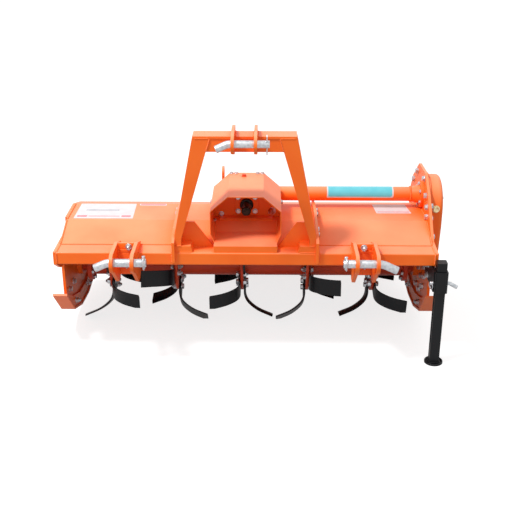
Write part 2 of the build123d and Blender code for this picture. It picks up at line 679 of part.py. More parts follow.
# ---------------------------------------------------------------- mast
def mast_rib(side):
    """Upright strap over the beam and hood, outside a mast post."""
    seat = [
        (BEAM_FRONT_Y, BEAM_BOTTOM_Z + RIB_END_UP),
        (BEAM_FRONT_Y, BEAM_TOP_Z),
        (BEAM_BACK_Y, BEAM_TOP_Z),
    ] + HOOD_LINE[2:4]
    back_y = HOOD_LINE[3][0]
    over = [
        (back_y, HOOD_TOP_Z + RIB_STAND_BACK),
        (ROTOR_Y + HOOD_FOLD_DY, HOOD_TOP_Z + RIB_STAND),
        (BEAM_FRONT_Y + RIB_SHOULDER, BEAM_TOP_Z + RIB_STAND + RIB_SHOULDER),
        (BEAM_FRONT_Y - RIB_LEAD, BEAM_TOP_Z + RIB_STAND),
        (BEAM_FRONT_Y - RIB_LEAD, BEAM_BOTTOM_Z + RIB_END_UP),
    ]
    inner = side * POST_FOOT_OUT
    return plate_x(seat + over, *sorted((inner, inner + side * RIB_T)))


def along_mast(outline, near, far):
    """A slab in the mast's lean, between two depths, from an outline in x and in height along a post."""
    up_y, up_z = (MAST_TOP_Y - MAST_FOOT_Y) / POST_LENGTH, (MAST_TOP_Z - PAD_TOP_Z) / POST_LENGTH
    back = Vector(0, up_z, -up_y)
    front = Plane(origin=(0, MAST_FOOT_Y, PAD_TOP_Z), x_dir=(1, 0, 0), z_dir=-back)
    face = make_face(Plane(front.origin + back * near, (1, 0, 0), -back) * Polyline(*outline, close=True))
    return extrude(face, amount=far - near, dir=back)


def mast_front(z):
    """The y of the bar's front at a height."""
    rise = MAST_TOP_Z - PAD_TOP_Z
    lean = (MAST_FOOT_Y - MAST_TOP_Y) / rise
    return MAST_TOP_Y + (MAST_TOP_Z - z) * lean + BAR_SET_BACK * POST_LENGTH / rise


def post_inner(height):
    """Half the gap between the posts, at a height along them."""
    foot_x, top_x = POST_FOOT_OUT - POST_FOOT_WIDTH, MAST_BAR_HALF - POST_TOP_WIDTH
    share = (height - POST_INNER_RISE) / (POST_LENGTH - POST_INNER_RISE)
    return foot_x + (top_x - foot_x) * max(share, 0.0)


def post_outline(inset, past):
    """A mast post's front, drawn in by inset on both flanges and past its ends by past."""
    share = past / (POST_LENGTH - POST_FOOT_RISE)
    top_out = MAST_BAR_HALF - (POST_FOOT_OUT - MAST_BAR_HALF) * share
    return [
        (POST_FOOT_OUT - inset, -past),
        (POST_FOOT_OUT - inset, POST_FOOT_RISE),
        (top_out - inset, POST_LENGTH + past),
        (post_inner(POST_LENGTH + past) + inset, POST_LENGTH + past),
        (post_inner(POST_INNER_RISE) + inset, POST_INNER_RISE),
        (post_inner(-past) + inset, -past),
    ]


def mast_post(side):
    """Tapered channel, open to the back, on a folded foot pad."""
    outline = [(side * x, z) for x, z in post_outline(0, MAST_T)]
    inner = [(side * x, z) for x, z in post_outline(MAST_T, 2 * MAST_T)]
    post = along_mast(outline, 0, POST_DEPTH) - along_mast(inner, MAST_T, POST_DEPTH + 1)
    wide = POST_FOOT_OUT + MAST_T
    post &= box((-wide, wide), (0, BEAM_BACK_Y), (PAD_TOP_Z, MAST_TOP_Z - MAST_T))
    near = BEAM_FRONT_Y + PAD_SET_BACK
    pad = None
    for inset, y in ((0, near), (MAST_T, near + MAST_T)):
        ends = [
            (POST_FOOT_OUT - inset, BEAM_TOP_Z),
            (POST_FOOT_OUT - inset, PAD_TOP_Z - inset),
            (PAD_IN + inset, PAD_TOP_Z - inset),
            (PAD_IN - PAD_SPLAY + inset, BEAM_TOP_Z),
        ]
        block = plate_y([(side * x, z) for x, z in ends], y, near + PAD_BACK)
        pad = block if pad is None else pad - block
    return post + pad


def mast_bar():
    """Bar between the posts' heads, with the cap that lies on both."""
    top, low = POST_LENGTH, POST_LENGTH - MAST_BAR_HEIGHT
    outline = [(post_inner(top), top), (post_inner(low), low)]
    outline += [(-x, along) for x, along in outline[::-1]]
    front = along_mast(outline, BAR_SET_BACK, BAR_SET_BACK + MAST_T)
    wide = MAST_BAR_HALF
    across = (MAST_TOP_Y, MAST_TOP_Y + MAST_DEPTH)
    front &= box((-wide, wide), across, (0, MAST_TOP_Z - MAST_T))
    return front + box((-wide, wide), across, (MAST_TOP_Z - MAST_T, MAST_TOP_Z))


def top_lug(side):
    """One of the two ears that hold the top pin."""
    x = side * TOP_EAR_PITCH / 2
    half = TOP_EAR_T / 2
    low = MAST_TOP_Z - MAST_BAR_HEIGHT
    nose = rod_x(TOP_NOSE_R, x - half, x + half, 0, TOP_PIN_Z)
    outline = [
        (0, TOP_PIN_Z - TOP_NOSE_R),
        (0, TOP_PIN_Z + TOP_NOSE_R),
        (MAST_TOP_Y, MAST_TOP_Z + LUG_RISE),
        (MAST_TOP_Y + MAST_DEPTH, MAST_TOP_Z + LUG_TAIL_RISE),
        (MAST_TOP_Y + MAST_DEPTH, MAST_TOP_Z),
        (MAST_TOP_Y, MAST_TOP_Z),
        (MAST_TOP_Y, MAST_TOP_Z - MAST_T),
        (mast_front(MAST_TOP_Z - MAST_T), MAST_TOP_Z - MAST_T),
        (mast_front(low), low),
        (mast_front(low) - LUG_FOOT, low),
    ]
    ear = nose + plate_x(outline, x - half, x + half)
    return ear - rod_x(TOP_PIN_R + PIN_FIT, x - TOP_EAR_T, x + TOP_EAR_T, 0, TOP_PIN_Z)


def mast_gusset(side):
    """Plate between a post's inner flange and the guard's foot, on the beam's back edge."""
    to_height = (MAST_TOP_Z - PAD_TOP_Z) / POST_LENGTH
    top = BEAM_TOP_Z + GUSSET_HEIGHT
    top_x = post_inner((top - PAD_TOP_Z) / to_height)
    outline = [
        (PAD_IN - PAD_SPLAY, BEAM_TOP_Z),
        (PAD_IN, PAD_TOP_Z),
        (post_inner(0), PAD_TOP_Z),
        (post_inner(0), PAD_TOP_Z + POST_INNER_RISE * to_height),
        (top_x, top),
        (top_x - GUSSET_TOP, top),
        (GUARD_FOOT_HALF + GUSSET_GAP, BEAM_TOP_Z),
    ]
    back = BEAM_FRONT_Y + GUSSET_BACK
    return plate_y([(side * a, b) for a, b in outline], back - MAST_T, back)


# ---------------------------------------------------------------- hitch
def lower_bracket(side):
    """Clevis on the front beam: two ears over the beam, a web between them, a clamp plate below."""
    middle = side * PIN_SPREAD / 2
    bracket = None
    tail_y = BEAM_BACK_Y - EAR_TAIL_IN
    lobe_z = BEAM_BOTTOM_Z - EAR_LOBE
    outline = [
        (0, -EAR_NOSE_R),
        (0, EAR_NOSE_R),
        (BEAM_FRONT_Y + EAR_CORNER, BEAM_TOP_Z + EAR_RISE),
        (BEAM_BACK_Y, BEAM_TOP_Z + EAR_TAIL_RISE),
        (BEAM_BACK_Y, BEAM_TOP_Z),
        (BEAM_FRONT_Y, BEAM_TOP_Z),
        (BEAM_FRONT_Y, BEAM_BOTTOM_Z),
        (tail_y, BEAM_BOTTOM_Z),
        (tail_y, BEAM_BOTTOM_Z - EAR_CHEEK),
        (BEAM_FRONT_Y + EAR_LOBE_BACK, lobe_z),
        (BEAM_FRONT_Y + EAR_LOBE_FRONT, lobe_z),
    ]
    for offset in (-1, 1):
        x = middle + offset * LOWER_EAR_PITCH / 2
        ear = rod_x(EAR_NOSE_R, x - EAR_T / 2, x + EAR_T / 2, 0, 0)
        ear += plate_x(outline, x - EAR_T / 2, x + EAR_T / 2)
        bracket = ear if bracket is None else bracket + ear
    inner = LOWER_EAR_PITCH / 2 - EAR_T / 2
    across = (middle - inner, middle + inner)
    bracket += box(across, (BEAM_FRONT_Y, tail_y), (BEAM_TOP_Z, BEAM_TOP_Z + MAST_T))
    web_y = BEAM_FRONT_Y + EAR_WEB_Y
    bracket += box(across, (web_y, web_y + MAST_T), (BEAM_BOTTOM_Z - EAR_WEB_HEIGHT, BEAM_BOTTOM_Z))
    reach = LOWER_EAR_PITCH
    return bracket - rod_x(LOWER_PIN_R + PIN_FIT, middle - reach, middle + reach, 0, 0)


def hitch_pin(x_plain, x_bent, radius, y, z, drop):
    """Straight pin along X with a handle bent down and forward at one end."""
    out = math.copysign(1.0, x_bent - x_plain)
    pin = rod_x(radius, x_plain, x_bent, y, z) + Pos(x_bent, y, z) * Sphere(radius)
    tip = (x_bent + out * PIN_BEND_LENGTH * 0.9, y, z - drop)
    return pin + capsule((x_bent, y, z), tip, radius)


def lower_pin(side):
    half = LOWER_EAR_PITCH / 2 + EAR_T / 2
    plain = side * (PIN_SPREAD / 2 - half - LOWER_PIN_REACH)
    bent = side * (PIN_SPREAD / 2 + half + 8)
    return hitch_pin(plain, bent, LOWER_PIN_R, 0, 0, 16)


def top_pin():
    half = TOP_EAR_PITCH / 2 + TOP_EAR_T / 2
    return hitch_pin(half + LOWER_PIN_REACH, -half - 6, TOP_PIN_R, 0, TOP_PIN_Z, 16)


# ---------------------------------------------------------------- stand
STAND_X = BODY_HALF + STAND_OUT
STAND_Y = BEAM_FRONT_Y - STAND_PLAY_Y - LEG / 2
ARM_BACK_Y = ROTOR_Y - ARM_REACH
SLEEVE_TOP_Z = BEAM_BOTTOM_Z - SLEEVE_TOP_BELOW
SLEEVE_BOTTOM_Z = SLEEVE_TOP_Z - SLEEVE_HEIGHT
STAND_PIN_Z = SLEEVE_BOTTOM_Z + STAND_PIN_UP
LEG_TOP_Z = SLEEVE_TOP_Z + LEG_ABOVE


def square_bar(side_length, z0, z1, corner):
    bar = box(
        (STAND_X - side_length / 2, STAND_X + side_length / 2),
        (STAND_Y - side_length / 2, STAND_Y + side_length / 2),
        (z0, z1),
    )
    return fillet(bar.edges().filter_by(Axis.Z), corner)


def stand_sleeve():
    """Square sleeve with the plate that bolts to the chain-side plate."""
    outer = square_bar(SLEEVE, SLEEVE_BOTTOM_Z, SLEEVE_TOP_Z, 5)
    face = BODY_HALF
    heights = (SLEEVE_BOTTOM_Z, SLEEVE_TOP_Z)
    arm = box((face - ARM_T, face), (STAND_Y - ARM_T, ARM_BACK_Y), heights)
    arm += box((face - ARM_T, STAND_X), (STAND_Y - ARM_T, STAND_Y), heights)
    bore = square_bar(LEG + 2 * SLEEVE_PLAY, SLEEVE_BOTTOM_Z - 1, SLEEVE_TOP_Z + 1, 4)
    pin_hole = rod_x(STAND_PIN_R + WELD_GAP, STAND_X - 60, STAND_X + 60, STAND_Y, STAND_PIN_Z)
    return outer + arm - bore - pin_hole


def stand_pin():
    x0, x1 = STAND_X - SLEEVE / 2 - 14, STAND_X + SLEEVE / 2 + 6
    pin = rod_x(STAND_PIN_R, x0, x1, STAND_Y, STAND_PIN_Z)
    handle = (x1 + 32, STAND_Y - 6, STAND_PIN_Z - 16)
    return pin + capsule((x1 - STAND_PIN_R, STAND_Y, STAND_PIN_Z), handle, 5)


def stand_leg():
    """Square tube; a slot in each side wall passes over the pin."""
    low = GROUND_Z + FOOT_T
    leg = square_bar(LEG, low, LEG_TOP_Z, 4)
    hollow = square_bar(LEG - 2 * LEG_WALL, low, LEG_TOP_Z - LEG_WALL, 2)
    reach = STAND_PIN_R + STAND_PIN_PLAY
    slot = box(
        (STAND_X - LEG, STAND_X + LEG),
        (STAND_Y - reach, STAND_Y + reach),
        (STAND_PIN_Z - STAND_TRAVEL - reach, STAND_PIN_Z + reach),
    )
    return leg - hollow - slot


def stand_foot():
    foot = rod_z(FOOT_R, GROUND_Z, GROUND_Z + FOOT_T, STAND_X, STAND_Y)
    return chamfer(foot.edges().sort_by(Axis.Z)[-1:], 3)


# ---------------------------------------------------------------- rotor
def rotor_tube():
    """Tube with a flange at each end and the stubs that run in the side plates."""
    tube = rod_x(TUBE_R, -TUBE_HALF, TUBE_HALF, ROTOR_Y, ROTOR_Z)
    hollow = TUBE_HALF - TUBE_PLUG
    tube -= rod_x(TUBE_R - TUBE_WALL, -hollow, hollow, ROTOR_Y, ROTOR_Z)
    for side in (-1, 1):
        inner = side * TUBE_HALF
        outer = side * (TUBE_HALF + END_FLANGE_T)
        tube += rod_x(END_FLANGE_R, *sorted((inner, outer)), ROTOR_Y, ROTOR_Z)
        end = side * (PLATE_OUT + STUB_OUT)
        tube += rod_x(STUB_R, *sorted((outer, end)), ROTOR_Y, ROTOR_Z)
    return tube


# a blade's middle line: distance from its flange's middle, and distance from the rotor axis
BLADE_LINE = [
    (FLANGE_T / 2 + BLADE_T, 52.0),
    (FLANGE_T / 2 + BLADE_T, 116.0),
    (22.0, 138.0),
    (34.0, 155.0),
    (56.0, 175.0),
    (90.0, 193.0),
    (BLADE_REACH, 207.0),
]


def blade(turn):
    """A blade pointing straight down (-Z) from the rotor axis; turn is +1 or -1 along X."""
    line = [(turn * x, -r) for x, r in BLADE_LINE]
    outline, _ = strip_outline(line, -turn * BLADE_T)
    solid = plate_y(outline, -BLADE_WIDTH / 2, BLADE_WIDTH / 2)
    return Pos(0, 0, -BLADE_PIVOT_R) * Rot(-BLADE_RELIEF, 0, 0) * Pos(0, 0, BLADE_PIVOT_R) * solid


def blade_set(index):
    """A tube flange with its six blades, three to each side."""
    disc = Rot(0, 90, 0) * Cylinder(FLANGE_R, FLANGE_T)
    bore = Rot(0, 90, 0) * Cylinder(TUBE_R + WELD_GAP, 200)
    shape = disc
    pitch = 360 / BLADES_A_SIDE
    for turn, shift in ((1, 0.0), (-1, pitch / 2)):
        one = blade(turn)
        for k in range(BLADES_A_SIDE):
            angle = FLANGE_PHASES[index % len(FLANGE_PHASES)] + shift + k * pitch
            shape += Rot(-angle, 0, 0) * one
    x = FLANGE_FIRST_X + index * FLANGE_PITCH
    swing = Rot(0, 90, 0) * Cylinder(SWING_R, 400)
    return Pos(x, ROTOR_Y, ROTOR_Z) * ((shape - bore) & swing)


# ---------------------------------------------------------------- trailing board and its adjuster
LUG_Y, LUG_Z = from_rotor(LUG_DY, LUG_DZ)
EYE_Y, EYE_Z = from_rotor(SLOT_DY, SLOT_DZ)
ROD_SPAN = math.dist((LUG_Y, LUG_Z), (EYE_Y, EYE_Z))


def trailing_board():
    outline, _ = strip_outline(BOARD_LINE[::-1], SHEET)
    half = BODY_HALF - BOARD_GAP
    board = plate_x(outline, -half, half)
    y, z = from_rotor(HINGE_DY, HINGE_DZ)
    for x in HOOD_KNUCKLES:
        reach = KNUCKLE_LENGTH / 2 + KNUCKLE_NOTCH
        board -= rod_x(HINGE_R + KNUCKLE_WALL + KNUCKLE_NOTCH, x - reach, x + reach, y, z)
    for x in BOARD_KNUCKLES:
        board += hinge_knuckles([x])[0]
    return board - hinge_bore()


def board_lugs():
    """A pair of ears on the board with the pin that holds the adjuster's eye."""
    root = [(LUG_Y - 9, LUG_Z + 9), BOARD_LINE[1], BOARD_LINE[2], (LUG_Y + 9, LUG_Z - 9)]
    half = LUG_GAP / 2 + LUG_T + PIN_END
    lugs = rod_x(LUG_PIN_R, -half, half, LUG_Y, LUG_Z)
    for offset in (-1, 1):
        middle = offset * (LUG_GAP + LUG_T) / 2
        sides = (middle - LUG_T / 2, middle + LUG_T / 2)
        lugs += rod_x(LUG_R, *sides, LUG_Y, LUG_Z) + plate_x(root, *sides)
    return lugs


def along_rod(distance):
    """The (y, z) point at a distance from the lug's pin along the adjuster rod."""
    share = distance / ROD_SPAN
    return (LUG_Y + (EYE_Y - LUG_Y) * share, LUG_Z + (EYE_Z - LUG_Z) * share)


def tube_along(start, end, radius, bore=0.0):
    y0, z0 = along_rod(start)
    y1, z1 = along_rod(end)
    plane = Plane(origin=(0, y0, z0), x_dir=(1, 0, 0), z_dir=(0, y1 - y0, z1 - z0))
    solid = extrude(plane * Circle(radius), amount=end - start)
    if bore:
        solid -= extrude(plane * Circle(bore), amount=end - start)
    return solid


def adjuster_rod():
    eye = rod_x(EYE_R, -EYE_T / 2, EYE_T / 2, LUG_Y, LUG_Z)
    top = ROD_SPAN + BRACKET_T / 2 + SPRING_LENGTH
    rod = eye + tube_along(LUG_PIN_R + 2, top + ROD_END, ROD_R)
    rod += tube_along(top + 0.3, top + NUT_T, SPRING_R + 2)
    return rod - rod_x(LUG_PIN_R + 0.2, -EYE_T, EYE_T, LUG_Y, LUG_Z)


def adjuster_spring():
    start = ROD_SPAN + BRACKET_T / 2 + 0.4
    return tube_along(start, start + SPRING_LENGTH - 0.6, SPRING_R, ROD_R + 0.4)


def adjuster_bracket():
    """Arm on the hood's back with a slotted plate that the rod slides through."""
    normal_y, normal_z = (EYE_Y - LUG_Y) / ROD_SPAN, (EYE_Z - LUG_Z) / ROD_SPAN
    along = Plane(origin=(0, EYE_Y, EYE_Z), x_dir=(1, 0, 0), z_dir=(0, normal_y, normal_z))
    half = BRACKET_HALF
    bracket = along * Box(2 * half, BRACKET_LENGTH, BRACKET_T)
    bracket -= along * Box(SLOT_WIDTH, SLOT_LENGTH, 3 * BRACKET_T)
    back_y = EYE_Y + BRACKET_ARM_BACK
    outline = [
        HOOD_LINE[4],
        (back_y, EYE_Z + BRACKET_ARM_DEEP / 2),
        (back_y, EYE_Z - BRACKET_ARM_DEEP),
        (EYE_Y - BRACKET_T, EYE_Z - BRACKET_ARM_DIP),
        HOOD_LINE[5],
    ]
    for offset in (-1, 1):
        middle = offset * (half + BRACKET_ARM_T / 2)
        bracket += plate_x(outline, middle - BRACKET_ARM_T / 2, middle + BRACKET_ARM_T / 2)
    return bracket


# ---------------------------------------------------------------- nodes
def build():
    nodes = {
        "front_beam": front_beam(),
        "hood": hood(),
        "side_plate_left": side_plate_left(),
        "side_plate_right": side_plate_right(),
        "bearing_left": bearing_left(),
        "chain_case": chain_case(),
        "drive_tube": drive_tube(),
        "gearbox_base": gearbox_base(),
        "gearbox": gearbox(),
        "input_cover": input_cover(),
        "input_shaft": input_shaft(),
        "input_guard": input_guard(),
        "gearbox_front_plate": gearbox_front_plate(),
        "mast_bar": mast_bar(),
        "top_pin": top_pin(),
        "stand_sleeve": stand_sleeve(),
        "stand_pin": stand_pin(),
        "stand_leg": stand_leg(),
        "stand_foot": stand_foot(),
        "rotor_tube": rotor_tube(),
        "trailing_board": trailing_board(),
        "board_lugs": board_lugs(),
        "adjuster_bracket": adjuster_bracket(),
        "adjuster_rod": adjuster_rod(),
        "adjuster_spring": adjuster_spring(),
    }
    y, z = from_rotor(HINGE_DY, HINGE_DZ)
    rod_half = BODY_HALF - HINGE_ROD_END
    nodes["hinge_rod"] = rod_x(HINGE_R, -rod_half, rod_half, y, z)
    for name, side in (("left", -1), ("right", 1)):
        nodes[f"skid_{name}"] = skid(side)
        nodes[f"mast_rib_{name}"] = mast_rib(side)
        nodes[f"mast_post_{name}"] = mast_post(side)
        nodes[f"mast_gusset_{name}"] = mast_gusset(side)
        nodes[f"top_lug_{name}"] = top_lug(side)
        nodes[f"hitch_bracket_{name}"] = lower_bracket(side)
        nodes[f"hitch_pin_{name}"] = lower_pin(side)
    for i in range(FLANGE_COUNT):
        nodes[f"blade_set_{i + 1}"] = blade_set(i)
    return nodes


os.makedirs("parts", exist_ok=True)
for node, solid in build().items():
    export_step(solid, f"parts/{node}.step")
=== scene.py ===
"""Looks of the rotavator: finishes, fasteners, welds and fittings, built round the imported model.

Metres in Blender, millimetres in the tables. +X runs along the rotor to the chain side, +Y back
from the tractor, +Z up.
"""
import json
from math import atan2, cos, pi, radians, sin

import bmesh
import bpy
from mathutils import Matrix, Vector


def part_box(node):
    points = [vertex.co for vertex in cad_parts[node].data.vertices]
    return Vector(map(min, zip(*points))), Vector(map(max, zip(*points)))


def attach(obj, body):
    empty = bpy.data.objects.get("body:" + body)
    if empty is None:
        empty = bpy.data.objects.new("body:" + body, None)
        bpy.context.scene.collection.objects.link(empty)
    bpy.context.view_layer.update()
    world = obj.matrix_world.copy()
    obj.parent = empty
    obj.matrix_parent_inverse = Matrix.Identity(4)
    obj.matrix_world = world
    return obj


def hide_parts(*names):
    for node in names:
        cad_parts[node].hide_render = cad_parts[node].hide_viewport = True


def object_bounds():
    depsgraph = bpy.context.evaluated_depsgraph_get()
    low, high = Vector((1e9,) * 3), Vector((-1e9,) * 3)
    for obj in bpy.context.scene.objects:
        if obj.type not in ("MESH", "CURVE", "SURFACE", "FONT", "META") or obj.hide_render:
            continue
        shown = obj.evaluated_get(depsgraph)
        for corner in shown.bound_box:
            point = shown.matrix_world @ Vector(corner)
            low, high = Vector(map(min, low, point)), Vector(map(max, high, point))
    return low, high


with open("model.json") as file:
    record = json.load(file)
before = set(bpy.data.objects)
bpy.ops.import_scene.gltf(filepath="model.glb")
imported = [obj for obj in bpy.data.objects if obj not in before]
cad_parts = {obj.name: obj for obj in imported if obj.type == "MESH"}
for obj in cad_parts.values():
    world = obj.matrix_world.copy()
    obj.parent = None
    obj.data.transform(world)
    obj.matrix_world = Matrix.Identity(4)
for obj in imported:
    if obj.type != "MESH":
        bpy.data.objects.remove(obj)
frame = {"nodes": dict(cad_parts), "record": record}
cad_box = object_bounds()
NODES = frame["nodes"]
MM = 0.001
PATTERNS = []  # shapes that are only copied from


def mm(*values):
    """A vector in metres from millimetres."""
    return Vector([v * MM for v in values])


def box_mm(node):
    """The low and high corners of a node's box, in millimetres."""
    low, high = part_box(node)
    return low / MM, high / MM


def middle(node):
    """The middle of a node's box, in millimetres."""
    low, high = box_mm(node)
    return (low + high) / 2


SIDES = ((-1, "left"), (1, "right"))
LYING = (0, pi / 2, 0)  # turns what stands upright to lie along X
LEFT, RIGHT, FRONT, BACK, DOWN, UP = (-1, 0, 0), (1, 0, 0), (0, -1, 0), (0, 1, 0), (0, 0, -1), (0, 0, 1)
ROTOR_Y, ROTOR_Z = middle("rotor_tube")[1:]
DRIVE_Y, DRIVE_Z = middle("drive_tube")[1:]
STAND_X, STAND_Y = middle("stand_leg")[:2]
GROUND_Z = cad_box[0][2] / MM
PLATE_IN, PLATE_OUT = 659.0, 669.0  # side plates, inner and outer faces
BEAM_FRONT, BEAM_TOP, BEAM_LOW = 94.0, -3.0, -49.0
HOOD_TOP, HOOD_RIDGE = 40.0, 466.0  # the hood's level top: its height, and y of its back edge
HITCH_X = 412.5  # middle of a lower hitch bracket
EAR_T = 12.0  # thickness of its ears
STRAP_TOP = BEAM_TOP + 8  # the strap between them
WEB_FRONT, WEB_TOP = 97.0, BEAM_TOP + 35  # the web that stands on the strap
TOP_PIN_Z = 415.0
FLANGE_HALF = 5.0  # half the thickness of a rotor flange
TUBE_R = 44.5  # rotor tube


# ---------- materials
# how many marks of a pattern go to a metre
TONE_CLOUDS = 5.0  # drifts of tone, 200 mm
DUST_BLOTCHES = 60.0  # 17 mm
ROLLING_WAVES = 14.0  # 70 mm, left in the sheet by the rolls
PLATING_CLOUDS = 90.0  # 11 mm
METAL_TOOTH = 900.0  # 1.1 mm
FILM_MOTTLE = 40.0  # 25 mm
# in millimetres
ROLLING_DEPTH = 1.2  # of those waves
PAINTED_EDGE = 1.2  # rounding of cut plate's edges under paint
SHEEN_SHADE_REACH = 90.0  # the painted top sheen stays off what is overhung nearer than this, as painted shade
# colour of the pale sheen painted on faces that look up: a painted highlight
TOP_SHEEN_COLOUR = "#FFCDB8"


def linear(hex_colour):
    """A linear colour with alpha from an sRGB hex value."""
    channels = [int(hex_colour[i:i + 2], 16) / 255 for i in (1, 3, 5)]
    return [c / 12.92 if c <= 0.04045 else ((c + 0.055) / 1.055) ** 2.4 for c in channels] + [1.0]


def add(tree, kind, inputs=None, **settings):
    """Adds a shader node with its settings.

    An input given as a socket, or as a node for its first output, is linked. All else is a value."""
    made = tree.nodes.new("ShaderNode" + kind)
    for name, value in settings.items():
        setattr(made, name, value)
    for name, value in (inputs or {}).items():
        if isinstance(value, bpy.types.Node):
            value = value.outputs[0]
        if isinstance(value, bpy.types.NodeSocket):
            tree.links.new(value, made.inputs[name])
        else:
            made.inputs[name].default_value = value
    return made


def new_material(name):
    """An empty material, its node tree, and where its pattern is read."""
    material = bpy.data.materials.new(name)
    material.use_nodes = True
    tree = material.node_tree
    tree.nodes.clear()
    place = add(tree, "TexCoord").outputs["Object"]
    return material, tree, place


def two_tone(tree, share, low, high, start=0.35, end=0.65):
    """A colour between two hex colours, by where share lies between start and end."""
    ramp = add(tree, "ValToRGB", {"Fac": share})
    first, last = ramp.color_ramp.elements
    first.position, last.position = start, end
    first.color, last.color = linear(low), linear(high)
    return ramp


def painted(name, low, high, worn_lit_edge, roughness, peel_mm, peel_depth, coat, shine, top_sheen=0.0):
    """Paint on steel: soft shifts of tone, orange peel, waves left by rolling, and edges lightened as thin
    worn paint and a painted highlight.

    Top sheen is a painted highlight: a pale film painted on the faces that look up, kept off overhung places
    as painted shade."""
    material, tree, place = new_material(name)
    clouds = add(tree, "TexNoise", {"Vector": place, "Scale": TONE_CLOUDS, "Detail": 3.0})
    dust = add(tree, "TexNoise", {"Vector": place, "Scale": DUST_BLOTCHES, "Detail": 5.0, "Roughness": 0.7})
    grain = add(tree, "TexNoise", {"Vector": place, "Scale": 1 / (peel_mm * MM)})
    waves = add(tree, "TexNoise", {"Vector": place, "Scale": ROLLING_WAVES, "Detail": 1.0})
    # paint is lighter where a rounded edge leans away from its face: worn thin paint and a painted edge
    # highlight
    rounded = add(tree, "Bevel", {"Radius": PAINTED_EDGE * MM}, samples=4)
    flat = add(tree, "NewGeometry").outputs["Normal"]
    facing = add(tree, "VectorMath", {0: rounded, 1: flat}, operation="DOT_PRODUCT")
    edges = add(tree, "MapRange", {
        "Value": facing.outputs["Value"], "From Min": 0.995, "From Max": 0.90, "To Max": 0.55,
    })
    peel = add(tree, "Bump", {
        "Height": grain, "Distance": peel_depth * MM, "Strength": 0.6, "Normal": rounded,
    })
    sheet = add(tree, "Bump", {
        "Height": waves, "Distance": ROLLING_DEPTH * MM, "Strength": 0.2, "Normal": peel,
    })
    gloss = add(tree, "MapRange", {"Value": dust, "To Min": roughness - 0.07, "To Max": roughness + 0.09})
    tone = two_tone(tree, clouds, low, high)
    body = add(tree, "Mix", {0: edges, 6: tone, 7: linear(worn_lit_edge)}, data_type="RGBA")
    # painted highlight: a pale sheen painted on what looks up, in streaks, kept off where something overhangs
    # it as painted shade
    facets = add(tree, "SeparateXYZ", {"Vector": place.node.outputs["Normal"]})
    upward_sheen = add(tree, "MapRange", {
        "Value": facets.outputs["Z"], "From Min": 0.2, "From Max": 0.95, "To Max": top_sheen,
    })
    streaks = add(tree, "MapRange", {
        "Value": clouds, "From Min": 0.3, "From Max": 0.7, "To Min": 0.85, "To Max": 1.15,
    })
    sky = add(tree, "AmbientOcclusion", {"Distance": SHEEN_SHADE_REACH * MM}, samples=4)
    unshaded_share = add(tree, "MapRange", {"Value": sky.outputs["AO"], "From Min": 0.45, "From Max": 0.9})
    even = add(tree, "Math", {0: upward_sheen, 1: streaks}, operation="MULTIPLY")
    top_sheen_mask = add(tree, "Math", {0: even, 1: unshaded_share}, operation="MULTIPLY")
    with_top_sheen = add(tree, "Mix", {0: top_sheen_mask, 6: body.outputs[2], 7: linear(TOP_SHEEN_COLOUR)}, data_type="RGBA")
    skin = add(tree, "BsdfPrincipled", {
        "Base Color": with_top_sheen.outputs[2], "Roughness": gloss, "Normal": sheet, "IOR": 1.5,
        "Specular IOR Level": shine, "Coat Weight": coat, "Coat Roughness": 0.1,
    })
    add(tree, "OutputMaterial", {"Surface": skin})
    return material


def bare_metal(name, low, high, roughness, spangle_mm, depth):
    """Metal: patches of tone at spangle size, a fine tooth, and a gloss that follows the patches."""
    material, tree, place = new_material(name)
    patches = add(tree, "TexVoronoi", {"Vector": place, "Scale": 1 / (spangle_mm * MM)})
    cloud = add(tree, "TexNoise", {"Vector": place, "Scale": PLATING_CLOUDS, "Detail": 4.0})
    tooth = add(tree, "TexNoise", {"Vector": place, "Scale": METAL_TOOTH})
    mixed = add(tree, "Math", {0: patches, 1: cloud}, operation="MULTIPLY")
    bump = add(tree, "Bump", {"Height": tooth, "Distance": depth * MM, "Strength": 0.5})
    gloss = add(tree, "MapRange", {"Value": cloud, "To Min": roughness - 0.08, "To Max": roughness + 0.1})
    skin = add(tree, "BsdfPrincipled", {
        "Base Color": two_tone(tree, mixed, low, high, 0.1, 0.4),
        "Metallic": 1.0, "Roughness": gloss, "Normal": bump,
    })
    add(tree, "OutputMaterial", {"Surface": skin})
    return material


def plain_film(name, low, high, roughness, grain_mm, depth, coat=0.0):
    """Rubber or vinyl: one tone with faint mottling and a fine even grain."""
    material, tree, place = new_material(name)
    mottle = add(tree, "TexNoise", {"Vector": place, "Scale": FILM_MOTTLE, "Detail": 3.0})
    grain = add(tree, "TexNoise", {"Vector": place, "Scale": 1 / (grain_mm * MM)})
    bump = add(tree, "Bump", {"Height": grain, "Distance": depth * MM, "Strength": 0.5})
    skin = add(tree, "BsdfPrincipled", {
        "Base Color": two_tone(tree, mottle, low, high),
        "Roughness": roughness, "Coat Weight": coat, "Normal": bump,
    })
    add(tree, "OutputMaterial", {"Surface": skin})
    return material


# polyester powder coat, sprayed and baked: bright orange with a wet gloss and a fine orange peel, and a pale
# sheen painted on its tops as a highlight
FRAME_PAINT = painted("orange_powder_coat", "#FA6C20", "#FF7728", "#FF9450", 0.38, 1.6, 0.04, 0.06, 0.2, 0.25)
# alkyd enamel over red oxide: a redder, darker orange on the rotor, partly painted shade for the rotor under
# the beam
SHADED_ROTOR_PAINT = painted("rotor_enamel_with_painted_shade", "#CC3A18", "#DE4A20", "#F07848", 0.42, 2.2, 0.07, 0.1, 0.25)
# quenched spring steel dipped in black enamel: bluish black, glossy where the dip ran smooth
BLADE_STEEL = painted(
    "black_dipped_spring_steel", "#0A0B0E", "#14161B", "#34363B", 0.36, 1.4, 0.08, 0.08, 0.22
)
